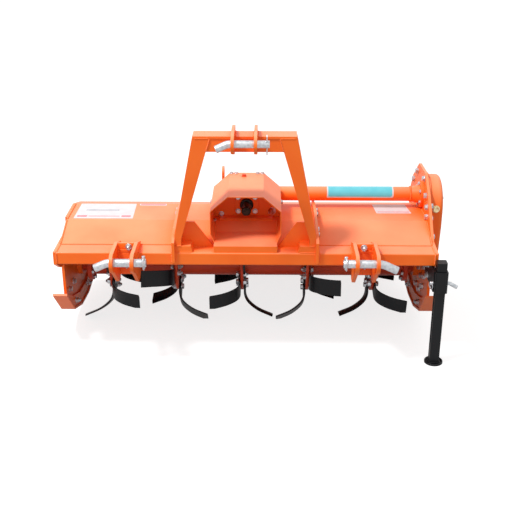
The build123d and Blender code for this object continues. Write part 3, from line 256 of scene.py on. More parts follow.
# black powder coat on tube: satin, a little grey on the corners, as worn paint and a painted edge highlight
BLACK_PAINT = painted("black_powder_coat", "#0A0B0D", "#101114", "#2C2D30", 0.42, 1.4, 0.06, 0.05, 0.25)
# bright zinc electroplate: silvery with a blue-white bloom that breaks up the shine
ZINC = bare_metal("bright_zinc_plate", "#BFC3C8", "#D6D9DC", 0.4, 9.0, 0.015)
# oiled machined steel with a blackened skin: dark, with soft brown highlights
OILED_STEEL = bare_metal("blackened_oiled_steel", "#15110F", "#3A322D", 0.36, 2.0, 0.03)
# nitrile rubber, moulded: dead black with a faint sheen
RUBBER = plain_film("moulded_nitrile_rubber", "#0B0B0C", "#141415", 0.55, 0.9, 0.04)
# yellow-passivated brass plug, turned: pale cream gold
BRASS = bare_metal("turned_brass_plug", "#DCC48E", "#F8E8C0", 0.32, 4.0, 0.02)
# printed vinyl labels: flat colour, matt where it is white, slick where a clear film covers the print
WHITE_VINYL = plain_film("white_vinyl_label", "#CEC8CA", "#D6D0D2", 0.3, 2.5, 0.02)
RED_VINYL = plain_film("faded_red_vinyl_print", "#D9707C", "#E07C86", 0.32, 2.5, 0.02, 0.2)
GREY_VINYL = plain_film("grey_vinyl_print", "#9A9CA6", "#AEB0B8", 0.32, 2.5, 0.02, 0.5)
TEAL_VINYL = plain_film("teal_vinyl_label", "#58BAC8", "#60C0CC", 0.3, 2.5, 0.02, 0.5)
FINISHES = {
    "frame_paint": FRAME_PAINT,
    "rotor_paint": SHADED_ROTOR_PAINT,
    "blade_steel": BLADE_STEEL,
    "black_paint": BLACK_PAINT,
    "zinc_plate": ZINC,
    "dark_steel": OILED_STEEL,
    "seal_black": RUBBER,
}


# ---------- shaping by hand
def mode(name):
    """Opens a piece for shaping (EDIT), or puts it down (OBJECT)."""
    bpy.ops.object.mode_set(mode=name)


def modify(kind, **settings):
    """Gives the piece that is put down a modifier, and applies it."""
    added = bpy.context.object.modifiers.new("shaping", kind)
    for name, value in settings.items():
        setattr(added, name, value)
    bpy.ops.object.modifier_apply(modifier=added.name)


def start(primitive, **where):
    """Adds a primitive with nothing else selected, and opens it for shaping."""
    bpy.ops.object.select_all(action="DESELECT")
    primitive(**where)
    mode("EDIT")


def settle():
    """Moves the place and the turn of what is being shaped into its mesh."""
    mode("OBJECT")
    bpy.ops.object.transform_apply(location=True, rotation=True, scale=True)
    mode("EDIT")


def pick_all():
    """Picks all of what is being shaped."""
    bpy.ops.mesh.select_all(action="SELECT")


def face_out():
    """Turns every face of what is being shaped outwards."""
    pick_all()
    bpy.ops.mesh.normals_make_consistent(inside=False)


def cut_off(at, out, **how):
    """Cuts away what lies past a plane through a point in millimetres."""
    pick_all()
    bpy.ops.mesh.bisect(plane_co=Vector(at) * MM, plane_no=out, clear_outer=True, **how)


def draw_out(way):
    """Extrudes what is picked, by a vector in millimetres."""
    bpy.ops.mesh.extrude_region_move(TRANSFORM_OT_translate={"value": Vector(way) * MM})


def pick(kind, test, among_picked=True):
    """Picks the edges or faces whose middle (in mm) and direction pass a test."""
    mesh = bmesh.from_edit_mesh(bpy.context.object.data)
    mesh.normal_update()
    chosen = []
    for item in mesh.edges if kind == "EDGE" else mesh.faces:
        if among_picked and not item.select:
            continue
        if kind == "EDGE":
            a, b = (corner.co for corner in item.verts)
            at, way = (a + b) / 2, (b - a).normalized()
        else:
            at, way = item.calc_center_median(), item.normal
        if test(at / MM, way):
            chosen.append(item)
    for group in (mesh.verts, mesh.edges, mesh.faces):
        for item in group:
            item.select = False
    mesh.select_mode = {kind}
    bpy.context.tool_settings.mesh_select_mode = (False, kind == "EDGE", kind == "FACE")
    for item in chosen:
        item.select_set(True)
    mesh.select_flush_mode()
    bmesh.update_edit_mesh(bpy.context.object.data)


def pick_top():
    """Picks the face on top of the part that is picked."""
    pick("FACE", lambda at, out: out.z > 0.9)


def sink(inset, depth=0.0):
    """Draws a picked face in from its edge, and down."""
    bpy.ops.mesh.inset(thickness=inset * MM, depth=depth * MM)


def step_in(steps):
    """Turns the top face to a profile: each step is how far in, then how far up."""
    pick_top()
    for inset, rise in steps:
        sink(inset)
        bpy.ops.transform.translate(value=mm(0, 0, rise))


def cylinder(radius, low, high, x=0.0, y=0.0, sides=32, opens=False):
    """An upright cylinder in millimetres, which opens a new piece or goes into the one being shaped."""
    where = {
        "vertices": sides,
        "radius": radius * MM,
        "depth": (high - low) * MM,
        "location": mm(x, y, (low + high) / 2),
    }
    if opens:
        start(bpy.ops.mesh.primitive_cylinder_add, **where)
    else:
        bpy.ops.mesh.primitive_cylinder_add(**where)


def lying_cylinder(radius, length, at, sides, ends="NGON"):
    """Opens a new piece with a cylinder along X, by its middle in millimetres."""
    start(
        bpy.ops.mesh.primitive_cylinder_add, vertices=sides, radius=radius * MM, depth=length * MM,
        end_fill_type=ends, location=mm(*at), rotation=LYING,
    )


def wire_ring(at, radius, wire, sides, wire_sides=10, twist=0.0):
    """How the torus primitive takes a ring of wire round the X axis, from millimetres."""
    return {
        "location": mm(*at),
        "rotation": (0, pi / 2, twist),
        "major_radius": radius * MM,
        "minor_radius": wire * MM,
        "major_segments": sides,
        "minor_segments": wire_sides,
    }


def soften_rims(offset, segments=1):
    """Bevels the picked edges that run round a rim, level with the ground plane."""
    pick("EDGE", lambda at, along: abs(along.z) < 0.1)
    bpy.ops.mesh.bevel(offset=offset * MM, segments=segments, affect="EDGES")


def round_corners(radius):
    """Rounds the upright corners of a level plate."""
    pick("EDGE", lambda at, along: abs(along.z) > 0.9, among_picked=False)
    bpy.ops.mesh.bevel(offset=radius * MM, segments=4, affect="EDGES")


def close(name, material, body=None, replaces=(), smooth=35, soften=0.0):
    """Closes a piece: edges softened, shading set, finish given, and riding on its body.

    Without a body it is a pattern that is only copied from."""
    mode("OBJECT")
    piece = bpy.context.object
    piece.name = piece.data.name = name
    bpy.ops.object.select_all(action="DESELECT")
    piece.select_set(True)
    bpy.ops.object.transform_apply(location=True, rotation=True, scale=True)
    if soften:
        modify("BEVEL", width=soften * MM, segments=2, limit_method="ANGLE", angle_limit=radians(40))
    bpy.ops.object.shade_smooth_by_angle(angle=radians(smooth))
    piece.data.materials.clear()
    piece.data.materials.append(material)
    if body is None:
        PATTERNS.append(piece)
        return piece
    if replaces:
        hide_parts(*replaces)
    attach(piece, body)
    return piece


def seat(point, facing=UP, turn=0.0, scale=1.0):
    """Where a pattern made upright at the origin goes: its foot at point, its top along facing."""
    lean = Vector(facing).to_track_quat("Z", "Y").to_matrix().to_4x4()
    spin = Matrix.Rotation(radians(turn), 4, "Z")
    return Matrix.Translation(mm(*point)) @ lean @ spin @ Matrix.Scale(scale, 4)


def spaced(count, first=0):
    """Angles spaced evenly round a circle, in degrees."""
    return [first + 360 / count * k for k in range(count)]


def ring(facing, centre, radius, angles, step=0.0, scale=1.0, turn=0.0):
    """Seats in a circle round an axis along X or Y, each turned a step on from the last."""
    across = Vector(BACK if facing[0] else RIGHT)
    places = []
    for k, degrees in enumerate(angles):
        angle = radians(degrees)
        arm = across * cos(angle) + Vector(UP) * sin(angle)
        places.append(seat(Vector(centre) + arm * radius, facing, turn + step * k, scale))
    return places


def on_wall(x, facing, spots, step, scale=1.0):
    """Seats on an upright wall at x, from y and z, each turned a step on from the last."""
    return [seat((x, y, z), facing, step * k, scale) for k, (y, z) in enumerate(spots)]


def twin_of(pattern, place):
    """A copy of a pattern with its own mesh, put in its place and picked."""
    twin = pattern.copy()
    twin.data = pattern.data.copy()
    twin.data.transform(place)
    if place.is_negative:
        twin.data.flip_normals()
    bpy.context.scene.collection.objects.link(twin)
    twin.select_set(True)
    bpy.context.view_layer.objects.active = twin
    return twin


def copies(pattern, name, material, body, places, **kept):
    """Copies of a pattern, each in its own place, joined under one name."""
    bpy.ops.object.select_all(action="DESELECT")
    for place in places:
        twin_of(pattern, place)
    if len(places) > 1:
        bpy.ops.object.join()
    close(name, material, body, **kept)


def plate(outline, low, high, across):
    """A flat plate cut from a sheet: its outline is a closed convex ring, seen along one axis."""
    points = [Vector(p) for p in outline]
    first, second, through = {"X": (1, 2, 0), "Y": (0, 2, 1), "Z": (0, 1, 2)}[across]
    turned = {"X": LYING, "Y": (pi / 2, 0, 0), "Z": (0, 0, 0)}[across]

    def spread(a, b, depth):
        """A vector from two values in the sheet and one through it."""
        made = Vector((0, 0, 0))
        made[first], made[second], made[through] = a, b, depth
        return made

    reach = max(max(abs(v) for v in p) for p in points) * 2.2
    where = spread(0, 0, low) * MM
    start(bpy.ops.mesh.primitive_plane_add, size=2 * reach * MM, location=where, rotation=turned)
    settle()
    centre = sum(points, Vector((0, 0))) / len(points)
    for a, b in zip(points, points[1:] + points[:1]):
        side = Vector((b[1] - a[1], a[0] - b[0])).normalized()
        if side.dot(centre - a) > 0:
            side = -side
        cut_off(spread(*a, low), spread(*side, 0))
    pick_all()
    draw_out(spread(0, 0, high - low))
    face_out()


def bent_bar(point, heading, radius, moves, sides=20):
    """A round bar drawn out from a disc. A move is a length, or a bend (angle, bend radius, towards)."""
    heading = Vector(heading).normalized()
    tip = Vector(point)
    start(
        bpy.ops.mesh.primitive_circle_add, vertices=sides, radius=radius * MM, fill_type="NGON",
        location=mm(*tip), rotation=heading.to_track_quat("Z", "Y").to_euler(),
    )
    settle()
    bpy.ops.mesh.select_mode(type="FACE")
    pick_all()
    for move in moves:
        if isinstance(move, tuple):
            angle, bend, towards = move
            towards = Vector(towards)
            towards = (towards - heading * towards.dot(heading)).normalized()
            centre = tip + towards * bend
            steps, axis = max(2, round(angle / 9)), towards.cross(heading)
            bpy.ops.mesh.spin(steps=steps, angle=radians(angle), center=centre * MM, axis=axis)
            turn = Matrix.Rotation(radians(angle), 3, heading.cross(towards))
            tip, heading = centre + turn @ (tip - centre), turn @ heading
        else:
            draw_out(heading * move)
            tip = tip + heading * move
    face_out()


# ---------- patterns that repeat
WASHER_R, WASHER_T = 12.0, 2.4
HEX_R = 10.6  # across the corners of an M12 head, halved
THREAD_PITCH = 2.0
THREAD_ROOT = 0.86  # the thread's root as a share of its crest
RIPPLE_STEP = 0.85  # from one ripple of a weld to the next, as a share of the bead
BEAD = 3.4


def threaded_end(radius, low, high):
    """A screw end with rolled thread, in the piece being shaped."""
    half = THREAD_PITCH / 2
    top = low + half
    cylinder(radius, low, top, sides=14)
    pick_top()
    inwards = True
    while top < high:
        draw_out((0, 0, half))
        size = THREAD_ROOT if inwards else 1 / THREAD_ROOT
        bpy.ops.transform.resize(value=(size, size, 1))
        top += half
        inwards = not inwards
    sink(radius * 0.2, radius * 0.12)


def make_fastener(name, top, screw=False):
    """M12 bolt head, or nut with its screw's end through it, standing on a washer at the origin."""
    cylinder(WASHER_R, 0, WASHER_T, sides=24, opens=True)
    soften_rims(0.5)
    cylinder(HEX_R, WASHER_T, top, sides=6)
    pick_top()
    sink(1.4, 1.0)
    if screw:
        threaded_end(5.8, top - 0.4, 18.0)
    return close(name, ZINC)


def make_ripple():
    """One ripple of a weld bead, lying across the X axis."""
    start(bpy.ops.mesh.primitive_uv_sphere_add, segments=8, ring_count=6, radius=1 * MM, location=(0, 0, 0))
    bpy.ops.transform.resize(value=(0.62, 1.0, 0.8))
    return close("ripple_pattern", FRAME_PAINT)


BOLT = make_fastener("bolt_pattern", 9.4)
NUT = make_fastener("nut_pattern", 11.6, screw=True)
RIPPLE = make_ripple()


def bolts(name, places, pattern=BOLT, body="root"):
    """Zinc-plated fasteners at their places, joined under one name."""
    copies(pattern, name, ZINC, body, places)


def weld(name, runs, bead=BEAD, body="root", material=FRAME_PAINT):
    """Welds laid along straight runs: each is a row of ripples that overlap by about half."""
    strips = []
    step = bead * RIPPLE_STEP
    for begin, end in runs:
        way = Vector(end) - Vector(begin)
        bpy.ops.object.select_all(action="DESELECT")
        strip = twin_of(RIPPLE, Matrix.Scale(bead, 4))
        modify(
            "ARRAY", use_relative_offset=False, use_constant_offset=True,
            constant_offset_displace=(step * MM, 0, 0), count=max(2, int(way.length / step)),
        )
        lie = way.to_track_quat("X", "Z").to_matrix().to_4x4()
        strip.data.transform(Matrix.Translation(mm(*begin)) @ lie)
        strips.append(strip)
    for strip in strips:
        strip.select_set(True)
    bpy.context.view_layer.objects.active = strips[0]
    if len(strips) > 1:
        bpy.ops.object.join()
    close(name, material, body, smooth=60)


def weld_ring(name, centre, radius, bead, body="root", material=FRAME_PAINT):
    """A weld right round a tube that lies along X."""
    places = []
    for degrees in spaced(int(2 * pi * radius / (bead * RIPPLE_STEP))):
        angle = radians(degrees)
        at = Vector(centre) + Vector((0, cos(angle), sin(angle))) * radius
        turn = Matrix.Rotation(angle + pi / 2, 4, "X") @ Matrix.Rotation(pi / 2, 4, "Z")
        places.append(Matrix.Translation(at * MM) @ turn @ Matrix.Scale(bead, 4))
    copies(RIPPLE, name, material, body, places, smooth=60)


# ---------- rotor
TINE_WIDTH, TINE_T = 60.0, 8.0
TINE_TOP, TINE_SHANK = 52.0, 64.0  # where a tine begins below the axis, and its straight part
TINE_BENDS = ((60.0, 45.0, 9), (160.0, 23.0, 6))  # radius, angle and steps
TINE_TIP = 39.0  # straight again past the bends
TINE_RELIEF, TINE_PIVOT = 13.0, 190.0  # degrees the tip is laid back, and the height it turns at
TINE_REACH = 216.5  # its tip's corners are cut off here
TINE_BOLTS = ((66.0, -9.0), (90.0, 9.0))  # below the axis, and off the tine's middle
FLANGE_R = 102.0
FLANGE_TURNS = (69.0, 36.0, 8.0, -33.0, -57.0)  # from straight down to the front, chain-side tine
MIRRORED = Matrix.Diagonal((-1, 1, 1, 1))


def make_tine():
    """One tine pointing straight down from the rotor axis, bent towards +X, its edge ground to a wedge."""
    start(
        bpy.ops.mesh.primitive_plane_add, size=1 * MM,
        location=mm(FLANGE_HALF + TINE_T / 2, 0, -TINE_TOP), rotation=(pi, 0, 0),
    )
    bpy.ops.transform.resize(value=(TINE_T, TINE_WIDTH, 1))
    # the leading edge is ground from its inner side
    cut_off((FLANGE_HALF + 2.6, -TINE_WIDTH / 2, -TINE_TOP), Vector((0.9, -0.42, 0)).normalized())
    bpy.ops.mesh.select_mode(type="FACE")
    pick_all()
    draw_out((0, 0, -TINE_SHANK))
    tip, lean = Vector((FLANGE_HALF + TINE_T, 0, -TINE_TOP - TINE_SHANK)), 0.0
    for radius, angle, steps in TINE_BENDS:
        centre = tip + Vector((cos(lean), 0, sin(lean))) * radius
        bpy.ops.mesh.spin(steps=steps, angle=radians(angle), center=centre * MM, axis=BACK)
        lean += radians(angle)
        tip = centre - Vector((cos(lean), 0, sin(lean))) * radius
    way = Vector((sin(lean), 0, -cos(lean)))
    for share in (0.5, 0.3, 0.2):
        draw_out(way * TINE_TIP * share)
        bpy.ops.transform.resize(value=(1, 1.02, 1))
    face_out()
    tine = close("tine_pattern", BLADE_STEEL)
    pivot = Matrix.Translation(mm(0, 0, -TINE_PIVOT))
    tine.data.transform(pivot @ Matrix.Rotation(radians(-TINE_RELIEF), 4, "X") @ pivot.inverted())
    mode("EDIT")
    # the heel's corner is cut off where it would dig in first
    for side, _ in SIDES:
        out = Vector((0, side * 0.12, -1)).normalized()
        cut_off(out * TINE_REACH, out, use_fill=True)
    mode("OBJECT")
    return tine


def rotor_sets():
    tine = make_tine()
    cylinder(FLANGE_R, -FLANGE_HALF, FLANGE_HALF, sides=72, opens=True)
    soften_rims(1.2, 2)
    mode("OBJECT")
    bpy.context.object.data.transform(Matrix.Rotation(pi / 2, 4, "Y"))
    disc = close("flange_pattern", SHADED_ROTOR_PAINT)
    for number, phase in enumerate(FLANGE_TURNS, 1):
        node = f"blade_set_{number}"
        x = middle(node)[0]
        axis = Matrix.Translation(mm(x, ROTOR_Y, ROTOR_Z))
        copies(disc, f"rotor_flange_{number}", SHADED_ROTOR_PAINT, "rotor", [axis], replaces=[node])
        tines, heads, nuts = [], [], []
        for hand, shift in ((1, 0.0), (-1, 60.0)):
            for k in range(3):
                place = axis @ Matrix.Rotation(radians(-(phase + shift + 120 * k)), 4, "X")
                tines.append(place @ MIRRORED if hand < 0 else place)
                for below, across in TINE_BOLTS:
                    head = (hand * (FLANGE_HALF + TINE_T), across, -below)
                    back = (-hand * FLANGE_HALF, across, -below)
                    heads.append(place @ seat(head, (hand, 0, 0), 17 * k))
                    nuts.append(place @ seat(back, (-hand, 0, 0), 11 * k))
        copies(tine, f"tines_{number}", BLADE_STEEL, "rotor", tines, soften=0.7)
        bolts(f"tine_bolts_{number}", heads, BOLT, "rotor")
        bolts(f"tine_nuts_{number}", nuts, NUT, "rotor")
        for side, word in SIDES:
            at = (x + side * (FLANGE_HALF + 1), ROTOR_Y, ROTOR_Z)
            weld_ring(f"flange_weld_{number}_{word}", at, TUBE_R + 1.5, 4.6, "rotor", SHADED_ROTOR_PAINT)
    ends = []
    for side, _ in SIDES:
        ends += ring((-side, 0, 0), (side * 600, ROTOR_Y, ROTOR_Z), 54, spaced(6, 15), scale=0.82)
    bolts("end_flange_bolts", ends, BOLT, "rotor")


rotor_sets()


# ---------- hitch
LOWER_PIN_R, TOP_PIN_R = 14.0, 12.5
LOWER_PIN_BEND = (24.0, 70.0, (0, -0.25, -1))  # degrees, radius, and where the handle leans
TOP_PIN_BEND = (24.0, 40.0, (0, -0.25, -1))
HANDLE = {"left": 32.0, "right": 40.0}
HAIRPIN = [
    62.0, (200.0, 6.5, (0, -1, 0)), 12.0, (34.0, 14.0, (0, 1, 0)), 4.0, (34.0, 14.0, (0, -1, 0.2)), 16.0,
]


def linchpin(name, x):
    """Snap pin down through the end of a lower pin, with its ring sprung over the front."""
    cylinder(4.2, -LOWER_PIN_R - 8, LOWER_PIN_R + 8, x, sides=16, opens=True)
    soften_rims(1.0, 2)
    cylinder(6.5, LOWER_PIN_R + 2.5, LOWER_PIN_R + 11.5, x, sides=18)
    soften_rims(2.0, 3)
    bpy.ops.mesh.primitive_torus_add(**wire_ring((x + 1, -2, 1), LOWER_PIN_R + 9, 2.1, 36))
    close(name, ZINC, "root")


def hitch_fittings():
    for side, word in SIDES:
        low, high = box_mm(f"hitch_pin_{word}")
        plain = (high if side < 0 else low).x
        moves = [118.0, LOWER_PIN_BEND, HANDLE[word]]
        bent_bar((plain, 0, 0), (side, 0, 0), LOWER_PIN_R, moves, sides=28)
        close(f"lower_pin_{word}", ZINC, "root", [f"hitch_pin_{word}"], soften=2.2)
        linchpin(f"lower_linchpin_{word}", plain + side * 9)
        # web between the ears, standing on the beam, with the bolt that clamps it to the hood
        low, high = box_mm(f"hitch_bracket_{word}")
        left, right = low.x + EAR_T, high.x - EAR_T
        outline = [(left, STRAP_TOP), (right, STRAP_TOP), (right, WEB_TOP), (left, WEB_TOP)]
        plate(outline, WEB_FRONT, WEB_FRONT + 8, "Y")
        close(f"hitch_web_{word}", FRAME_PAINT, "root", soften=1.0)
        y = WEB_FRONT - 1
        runs = [((x, y, STRAP_TOP + 2), (x, y, WEB_TOP - 2)) for x in (left + 1, right - 1)]
        runs.append(((left + 2, y, STRAP_TOP + 1), (right - 2, y, STRAP_TOP + 1)))
        weld(f"hitch_web_welds_{word}", runs)
        at = ((left + right) / 2 + 3 - side * 6, WEB_FRONT, BEAM_TOP + 22)
        bolts(f"hitch_web_bolt_{word}", [seat(at, FRONT, 20, 0.95)], NUT)
    x = box_mm("top_pin")[1].x
    bent_bar((x, 0, TOP_PIN_Z), LEFT, TOP_PIN_R, [126.0, TOP_PIN_BEND, 34.0], sides=28)
    close("top_link_pin", ZINC, "root", ["top_pin"], soften=2.0)
    # hairpin clip through the plain end of the top pin
    bent_bar((x - 9, -1, TOP_PIN_Z - 36), UP, 2.0, HAIRPIN, sides=12)
    close("top_hairpin", ZINC, "root", soften=0.5)


hitch_fittings()


# ---------- stand
STAND_PIN_Z = -103.0
FOOT_PRESSING = ((0.5, 3.4), (2.4, 0.9), (2.2, -1.2), (3.0, -2.6), (6.0, 0.0), (2.0, 2.6))
LEG_HALF = 17.5
ARM_BOLTS = ((171, -76, 10), (171, -116, 40), (222, -96, 25))  # y, z and turn


def stand_fittings():
    x = box_mm("stand_pin")[0].x
    bent_bar((x + 1, STAND_Y, STAND_PIN_Z), RIGHT, 6.8, [64.0, (28.0, 16.0, (0, -0.3, -1)), 26.0])
    close("stand_locking_pin", ZINC, "root", ["stand_pin"], soften=1.4)
    at = (x + 5, STAND_Y, STAND_PIN_Z - 8)
    start(bpy.ops.mesh.primitive_torus_add, **wire_ring(at, 13, 1.8, 32, twist=0.3))
    close("stand_pin_ring", ZINC, "root")
    # pressed foot: a dished plate with a rolled rim
    cylinder(33, GROUND_Z, GROUND_Z + 4, STAND_X, STAND_Y, sides=48, opens=True)
    step_in(FOOT_PRESSING)
    close("stand_foot_dish", BLACK_PAINT, "stand", ["stand_foot"], soften=0.5, smooth=50)
    corners = [
        (STAND_X + sx * LEG_HALF, STAND_Y + sy * LEG_HALF, GROUND_Z + 8)
        for sx, sy in ((-1, -1), (1, -1), (1, 1), (-1, 1))
    ]
    weld("stand_foot_weld", zip(corners, corners[1:] + corners[:1]), 2.6, "stand", BLACK_PAINT)
    # seam of the sleeve's rolled tube, and its weld to the side plate's arm
    low, high = box_mm("stand_sleeve")
    seams = ((STAND_X - 22, STAND_Y - 21), (PLATE_OUT + 1, STAND_Y + 23))
    runs = [((x, y, low.z + 3), (x, y, high.z - 3)) for x, y in seams]
    weld("stand_sleeve_weld", runs, 2.8, "root", BLACK_PAINT)
    bolts("stand_arm_bolts", [seat((PLATE_IN - 8, y, z), LEFT, turn) for y, z, turn in ARM_BOLTS])


stand_fittings()


# ---------- bolts of the frame
# y and z on the side plates, and on the mast's ribs
CHAIN_PLATE_BOLTS = [
    (568, 144), (635, 90), (416, 163), (358, 116), (320, 86), (311, 51), (247, 0), (515, 8),
    (255, -162), (283, -135), (326, -190), (348, -256), (381, -179), (417, -264), (292, -219),
]
SHOWN_OUTSIDE = [
    (568, 144), (635, 90), (320, 90), (306, 48), (247, 0), (255, -162), (283, -135), (326, -190), (348, -256),
]
LEFT_PLATE_BOLTS = [(251, -218), (319, -218)]
SKID_BOLTS = [(300, -288), (520, -318), (610, -321)]
RIB_BOLTS = [(375, 51), (337, 51), (238, 30), (210, 21)]
GUARD_BOLTS = [  # place, facing and turn
    ((-118, 300, 40), RIGHT, 5), ((-93, 336, 52), FRONT, 25), ((-124, 330, 100), LEFT, 15),
    ((124, 330, 100), RIGHT, 15),
]
GUARD_ROOF = 184.0


def frame_bolts():
    places = on_wall(PLATE_IN, LEFT, CHAIN_PLATE_BOLTS, 23)
    places += on_wall(PLATE_OUT, RIGHT, SHOWN_OUTSIDE, 31, 0.95)
    bolts("chain_plate_bolts", places)
    places = on_wall(-PLATE_IN, RIGHT, LEFT_PLATE_BOLTS, 19)
    places += on_wall(-PLATE_OUT, LEFT, LEFT_PLATE_BOLTS, 27)
    bolts("left_plate_bolts", places)
    for side, word in SIDES:
        bolts(f"skid_bolts_{word}", on_wall(side * PLATE_OUT, (side, 0, 0), SKID_BOLTS, 13))
        # the rearmost bolt is tapped into the sole, so that no nut stands in the way of the tines
        inside = on_wall(side * (PLATE_IN - 8), (-side, 0, 0), SKID_BOLTS[:2], 29)
        bolts(f"skid_nuts_{word}", inside, NUT)
        bolts(f"rib_bolts_{word}", on_wall(side * 254, (side, 0, 0), RIB_BOLTS, 21, 0.85))
        clamp = seat((side * (HITCH_X + 3), 105, BEAM_LOW), DOWN, 8, 0.9)
        bolts(f"hitch_clamp_bolts_{word}", [clamp], NUT)
    bolts("drive_flange_bolts", ring(LEFT, (647, DRIVE_Y, DRIVE_Z), 41, spaced(6, 28), 12, 0.62))
    # left bearing: flange bolts, cap screws and a grease nipple
    places = ring(LEFT, (-681, ROTOR_Y, ROTOR_Z), 63, spaced(6), 7, 0.85)
    places += ring(LEFT, (-703, ROTOR_Y, ROTOR_Z), 44, spaced(4, 45), 9, 0.5)
    bolts("bearing_bolts", places)
    cylinder(5, 0, 6, sides=6, opens=True)
    cylinder(2.6, 6, 10, sides=16)
    cylinder(3.6, 10, 13, sides=16)
    soften_rims(1.0, 2)
    nipple = close("nipple_pattern", BRASS)
    copies(nipple, "bearing_grease_nipple", BRASS, "root", [seat((-692, ROTOR_Y, ROTOR_Z + 50))])
    bolts("guard_bolts", [seat(at, facing, turn, 0.8) for at, facing, turn in GUARD_BOLTS])
    copies(BOLT, "guard_roof_screw", SHADED_ROTOR_PAINT, "root", [seat((-10, 373, GUARD_ROOF), UP, 8, 0.75)])
    bolts("guard_roof_bolts", [seat((x, 404, GUARD_ROOF), UP, 12, 0.6) for x in (-57, -40, 40, 57)])


frame_bolts()


# ---------- gearbox and input
def turned_part(name, radius, thick, sides, steps, place, material=FRAME_PAINT, **kept):
    """A disc turned to a profile, made upright and then put in its place."""
    cylinder(radius, 0, thick, sides=sides, opens=True)
    step_in(steps)
    pattern = close(f"{name}_pattern", material)
    copies(pattern, name, material, "root", [place], **kept)


def gearbox_fittings():
    face = box_mm("gearbox_front_plate")[0].y
    corners = [(sx, sz) for sx in (-1, 1) for sz in (-1, 1)]
    places = [seat((sx * 31, face - 8, DRIVE_Z + sz * 27), FRONT, 20 * sx, 0.82) for sx, sz in corners]
    bolts("input_cover_bolts", places)
    # turned cover on the front plate, painted with the guard
    turned_part(
        "input_seal_cover", 44, 8, 64,
        ((17.5, 0.0), (1.0, 5.0), (3.5, 0.0), (0.5, -9.0)),
        seat((0, face, DRIVE_Z), FRONT),
        replaces=["input_cover"], soften=0.8,
    )
    # lip seal round the input shaft
    boss = box_mm("input_cover")[0].y
    turned_part(
        "input_shaft_boot", 24.5, 10, 40,
        ((1.4, 2.2), (1.6, -1.6), (2.0, 0.4)),
        seat((0, boss + 2, DRIVE_Z), FRONT),
        RUBBER, soften=0.4,
    )
    plate([(-44, 356), (44, 356), (44, 470), (-44, 470)], 137, 143, "Z")
    round_corners(9)
    close("gearbox_top_cover", FRAME_PAINT, "root", soften=1.0)
    places = [seat((x, y, 143), UP, 9, 0.55) for x in (-35, 35) for y in (366, 413, 460)]
    bolts("gearbox_top_bolts", places)
    # rear cover: a turned disc with a raised middle
    back = box_mm("gearbox")[1].y
    turned_part(
        "gearbox_rear_cover", 44, 8, 56,
        ((16.0, 0.0), (1.5, 5.0), (8.0, 0.0), (1.5, -2.5)),
        seat((0, back, DRIVE_Z), BACK),
        soften=0.9,
    )
    bolts("gearbox_rear_bolts", ring(BACK, (0, back + 8, DRIVE_Z), 36, spaced(6, 30), 9, 0.55))
    # side cover bolts round the eye plate, and the two that hold the eye
    places = ring(LEFT, (-87, DRIVE_Y, DRIVE_Z), 33, range(115, 296, 45), 45, 0.55, turn=115)
    places += [seat((-95, DRIVE_Y + dy, DRIVE_Z), LEFT, turn, 0.7) for dy, turn in ((16, 12), (40, 42))]
    bolts("side_cover_bolts", places)
    cylinder(11, 143, 152, 0, 492, sides=6, opens=True)
    pick_top()
    sink(2, 1.2)
    close("filler_plug", BRASS, "root", soften=0.5)
    places = [seat((sx * 85, y, 46), UP, 14, 0.75) for sx in (-1, 1) for y in (410, 456)]
    bolts("gearbox_base_bolts", places)
    # strengthening ribs down both flanks of the casting
    for side, word in SIDES:
        for n, y in enumerate((372, 516), 1):
            plate([(side * 75, 50), (side * 88, 50), (side * 75, 100)], y - 3.5, y + 3.5, "Y")
            close(f"gearbox_rib_{word}_{n}", FRAME_PAINT, "root", soften=1.2)


gearbox_fittings()


# ---------- chain case
CASE_WALL_X = PLATE_OUT + 53
CASE_X = 694.0  # middle of the case's thickness
CASE_TURN = Matrix(((0, 0, 1, 0), (0, 1, 0, 0), (-1, 0, 0, 0), (0, 0, 0, 1)))  # Z to X, X down


def chain_case_fittings():
    # joint flange: the hull of three discs, on the side plate
    cylinder(118, 0, 7, sides=80, opens=True)
    cylinder(118, 0, 7, 49, sides=80)
    cylinder(86, 0, 7, 254, sides=80)
    pick_all()
    bpy.ops.mesh.convex_hull()
    face_out()
    hull = close("hull_pattern", FRAME_PAINT)
    place = Matrix.Translation(mm(PLATE_OUT, ROTOR_Y, 56)) @ CASE_TURN
    copies(hull, "chain_case_flange", FRAME_PAINT, "root", [place], soften=1.0)
    # level plug on the front wall with its sealing ring, and a smaller drain plug below
    cylinder(14, 0, 3, opens=True)
    soften_rims(0.8, 2)
    cylinder(11.5, 3, 8)
    pick_top()
    sink(2, 1.0)
    sink(4, -1.5)
    plug = close("plug_pattern", BRASS)
    places = [
        seat((CASE_X, 338.5, 72), (0, -1, 0.05)),
        seat((CASE_X, ROTOR_Y - 20, ROTOR_Z - 75), (0, -0.2, -1), 0, 0.8),
    ]
    copies(plug, "chain_case_plugs", BRASS, "root", places)
    # lower bearing cover and upper sprocket cover on the outer wall
    for name, z, radius in (("rotor_end_cover", ROTOR_Z, 52.0), ("drive_end_cover", 70.0, 46.0)):
        turned_part(
            name, radius, 6, 64,
            ((radius * 0.4, 0.0), (2.0, 4.0), (radius * 0.25, 0.0), (2.0, -1.5)),
            seat((CASE_WALL_X, ROTOR_Y, z), RIGHT),
            soften=1.0,
        )
        centre = (CASE_WALL_X + 6, ROTOR_Y, z)
        bolts(f"{name}_bolts", ring(RIGHT, centre, radius * 0.8, spaced(6, 30), 9, 0.55))
    # chain tension adjuster on the back wall
    bolts("chain_tension_screw", [seat((CASE_X, ROTOR_Y + 99, -70), (0, 1, -0.15))], NUT)


chain_case_fittings()


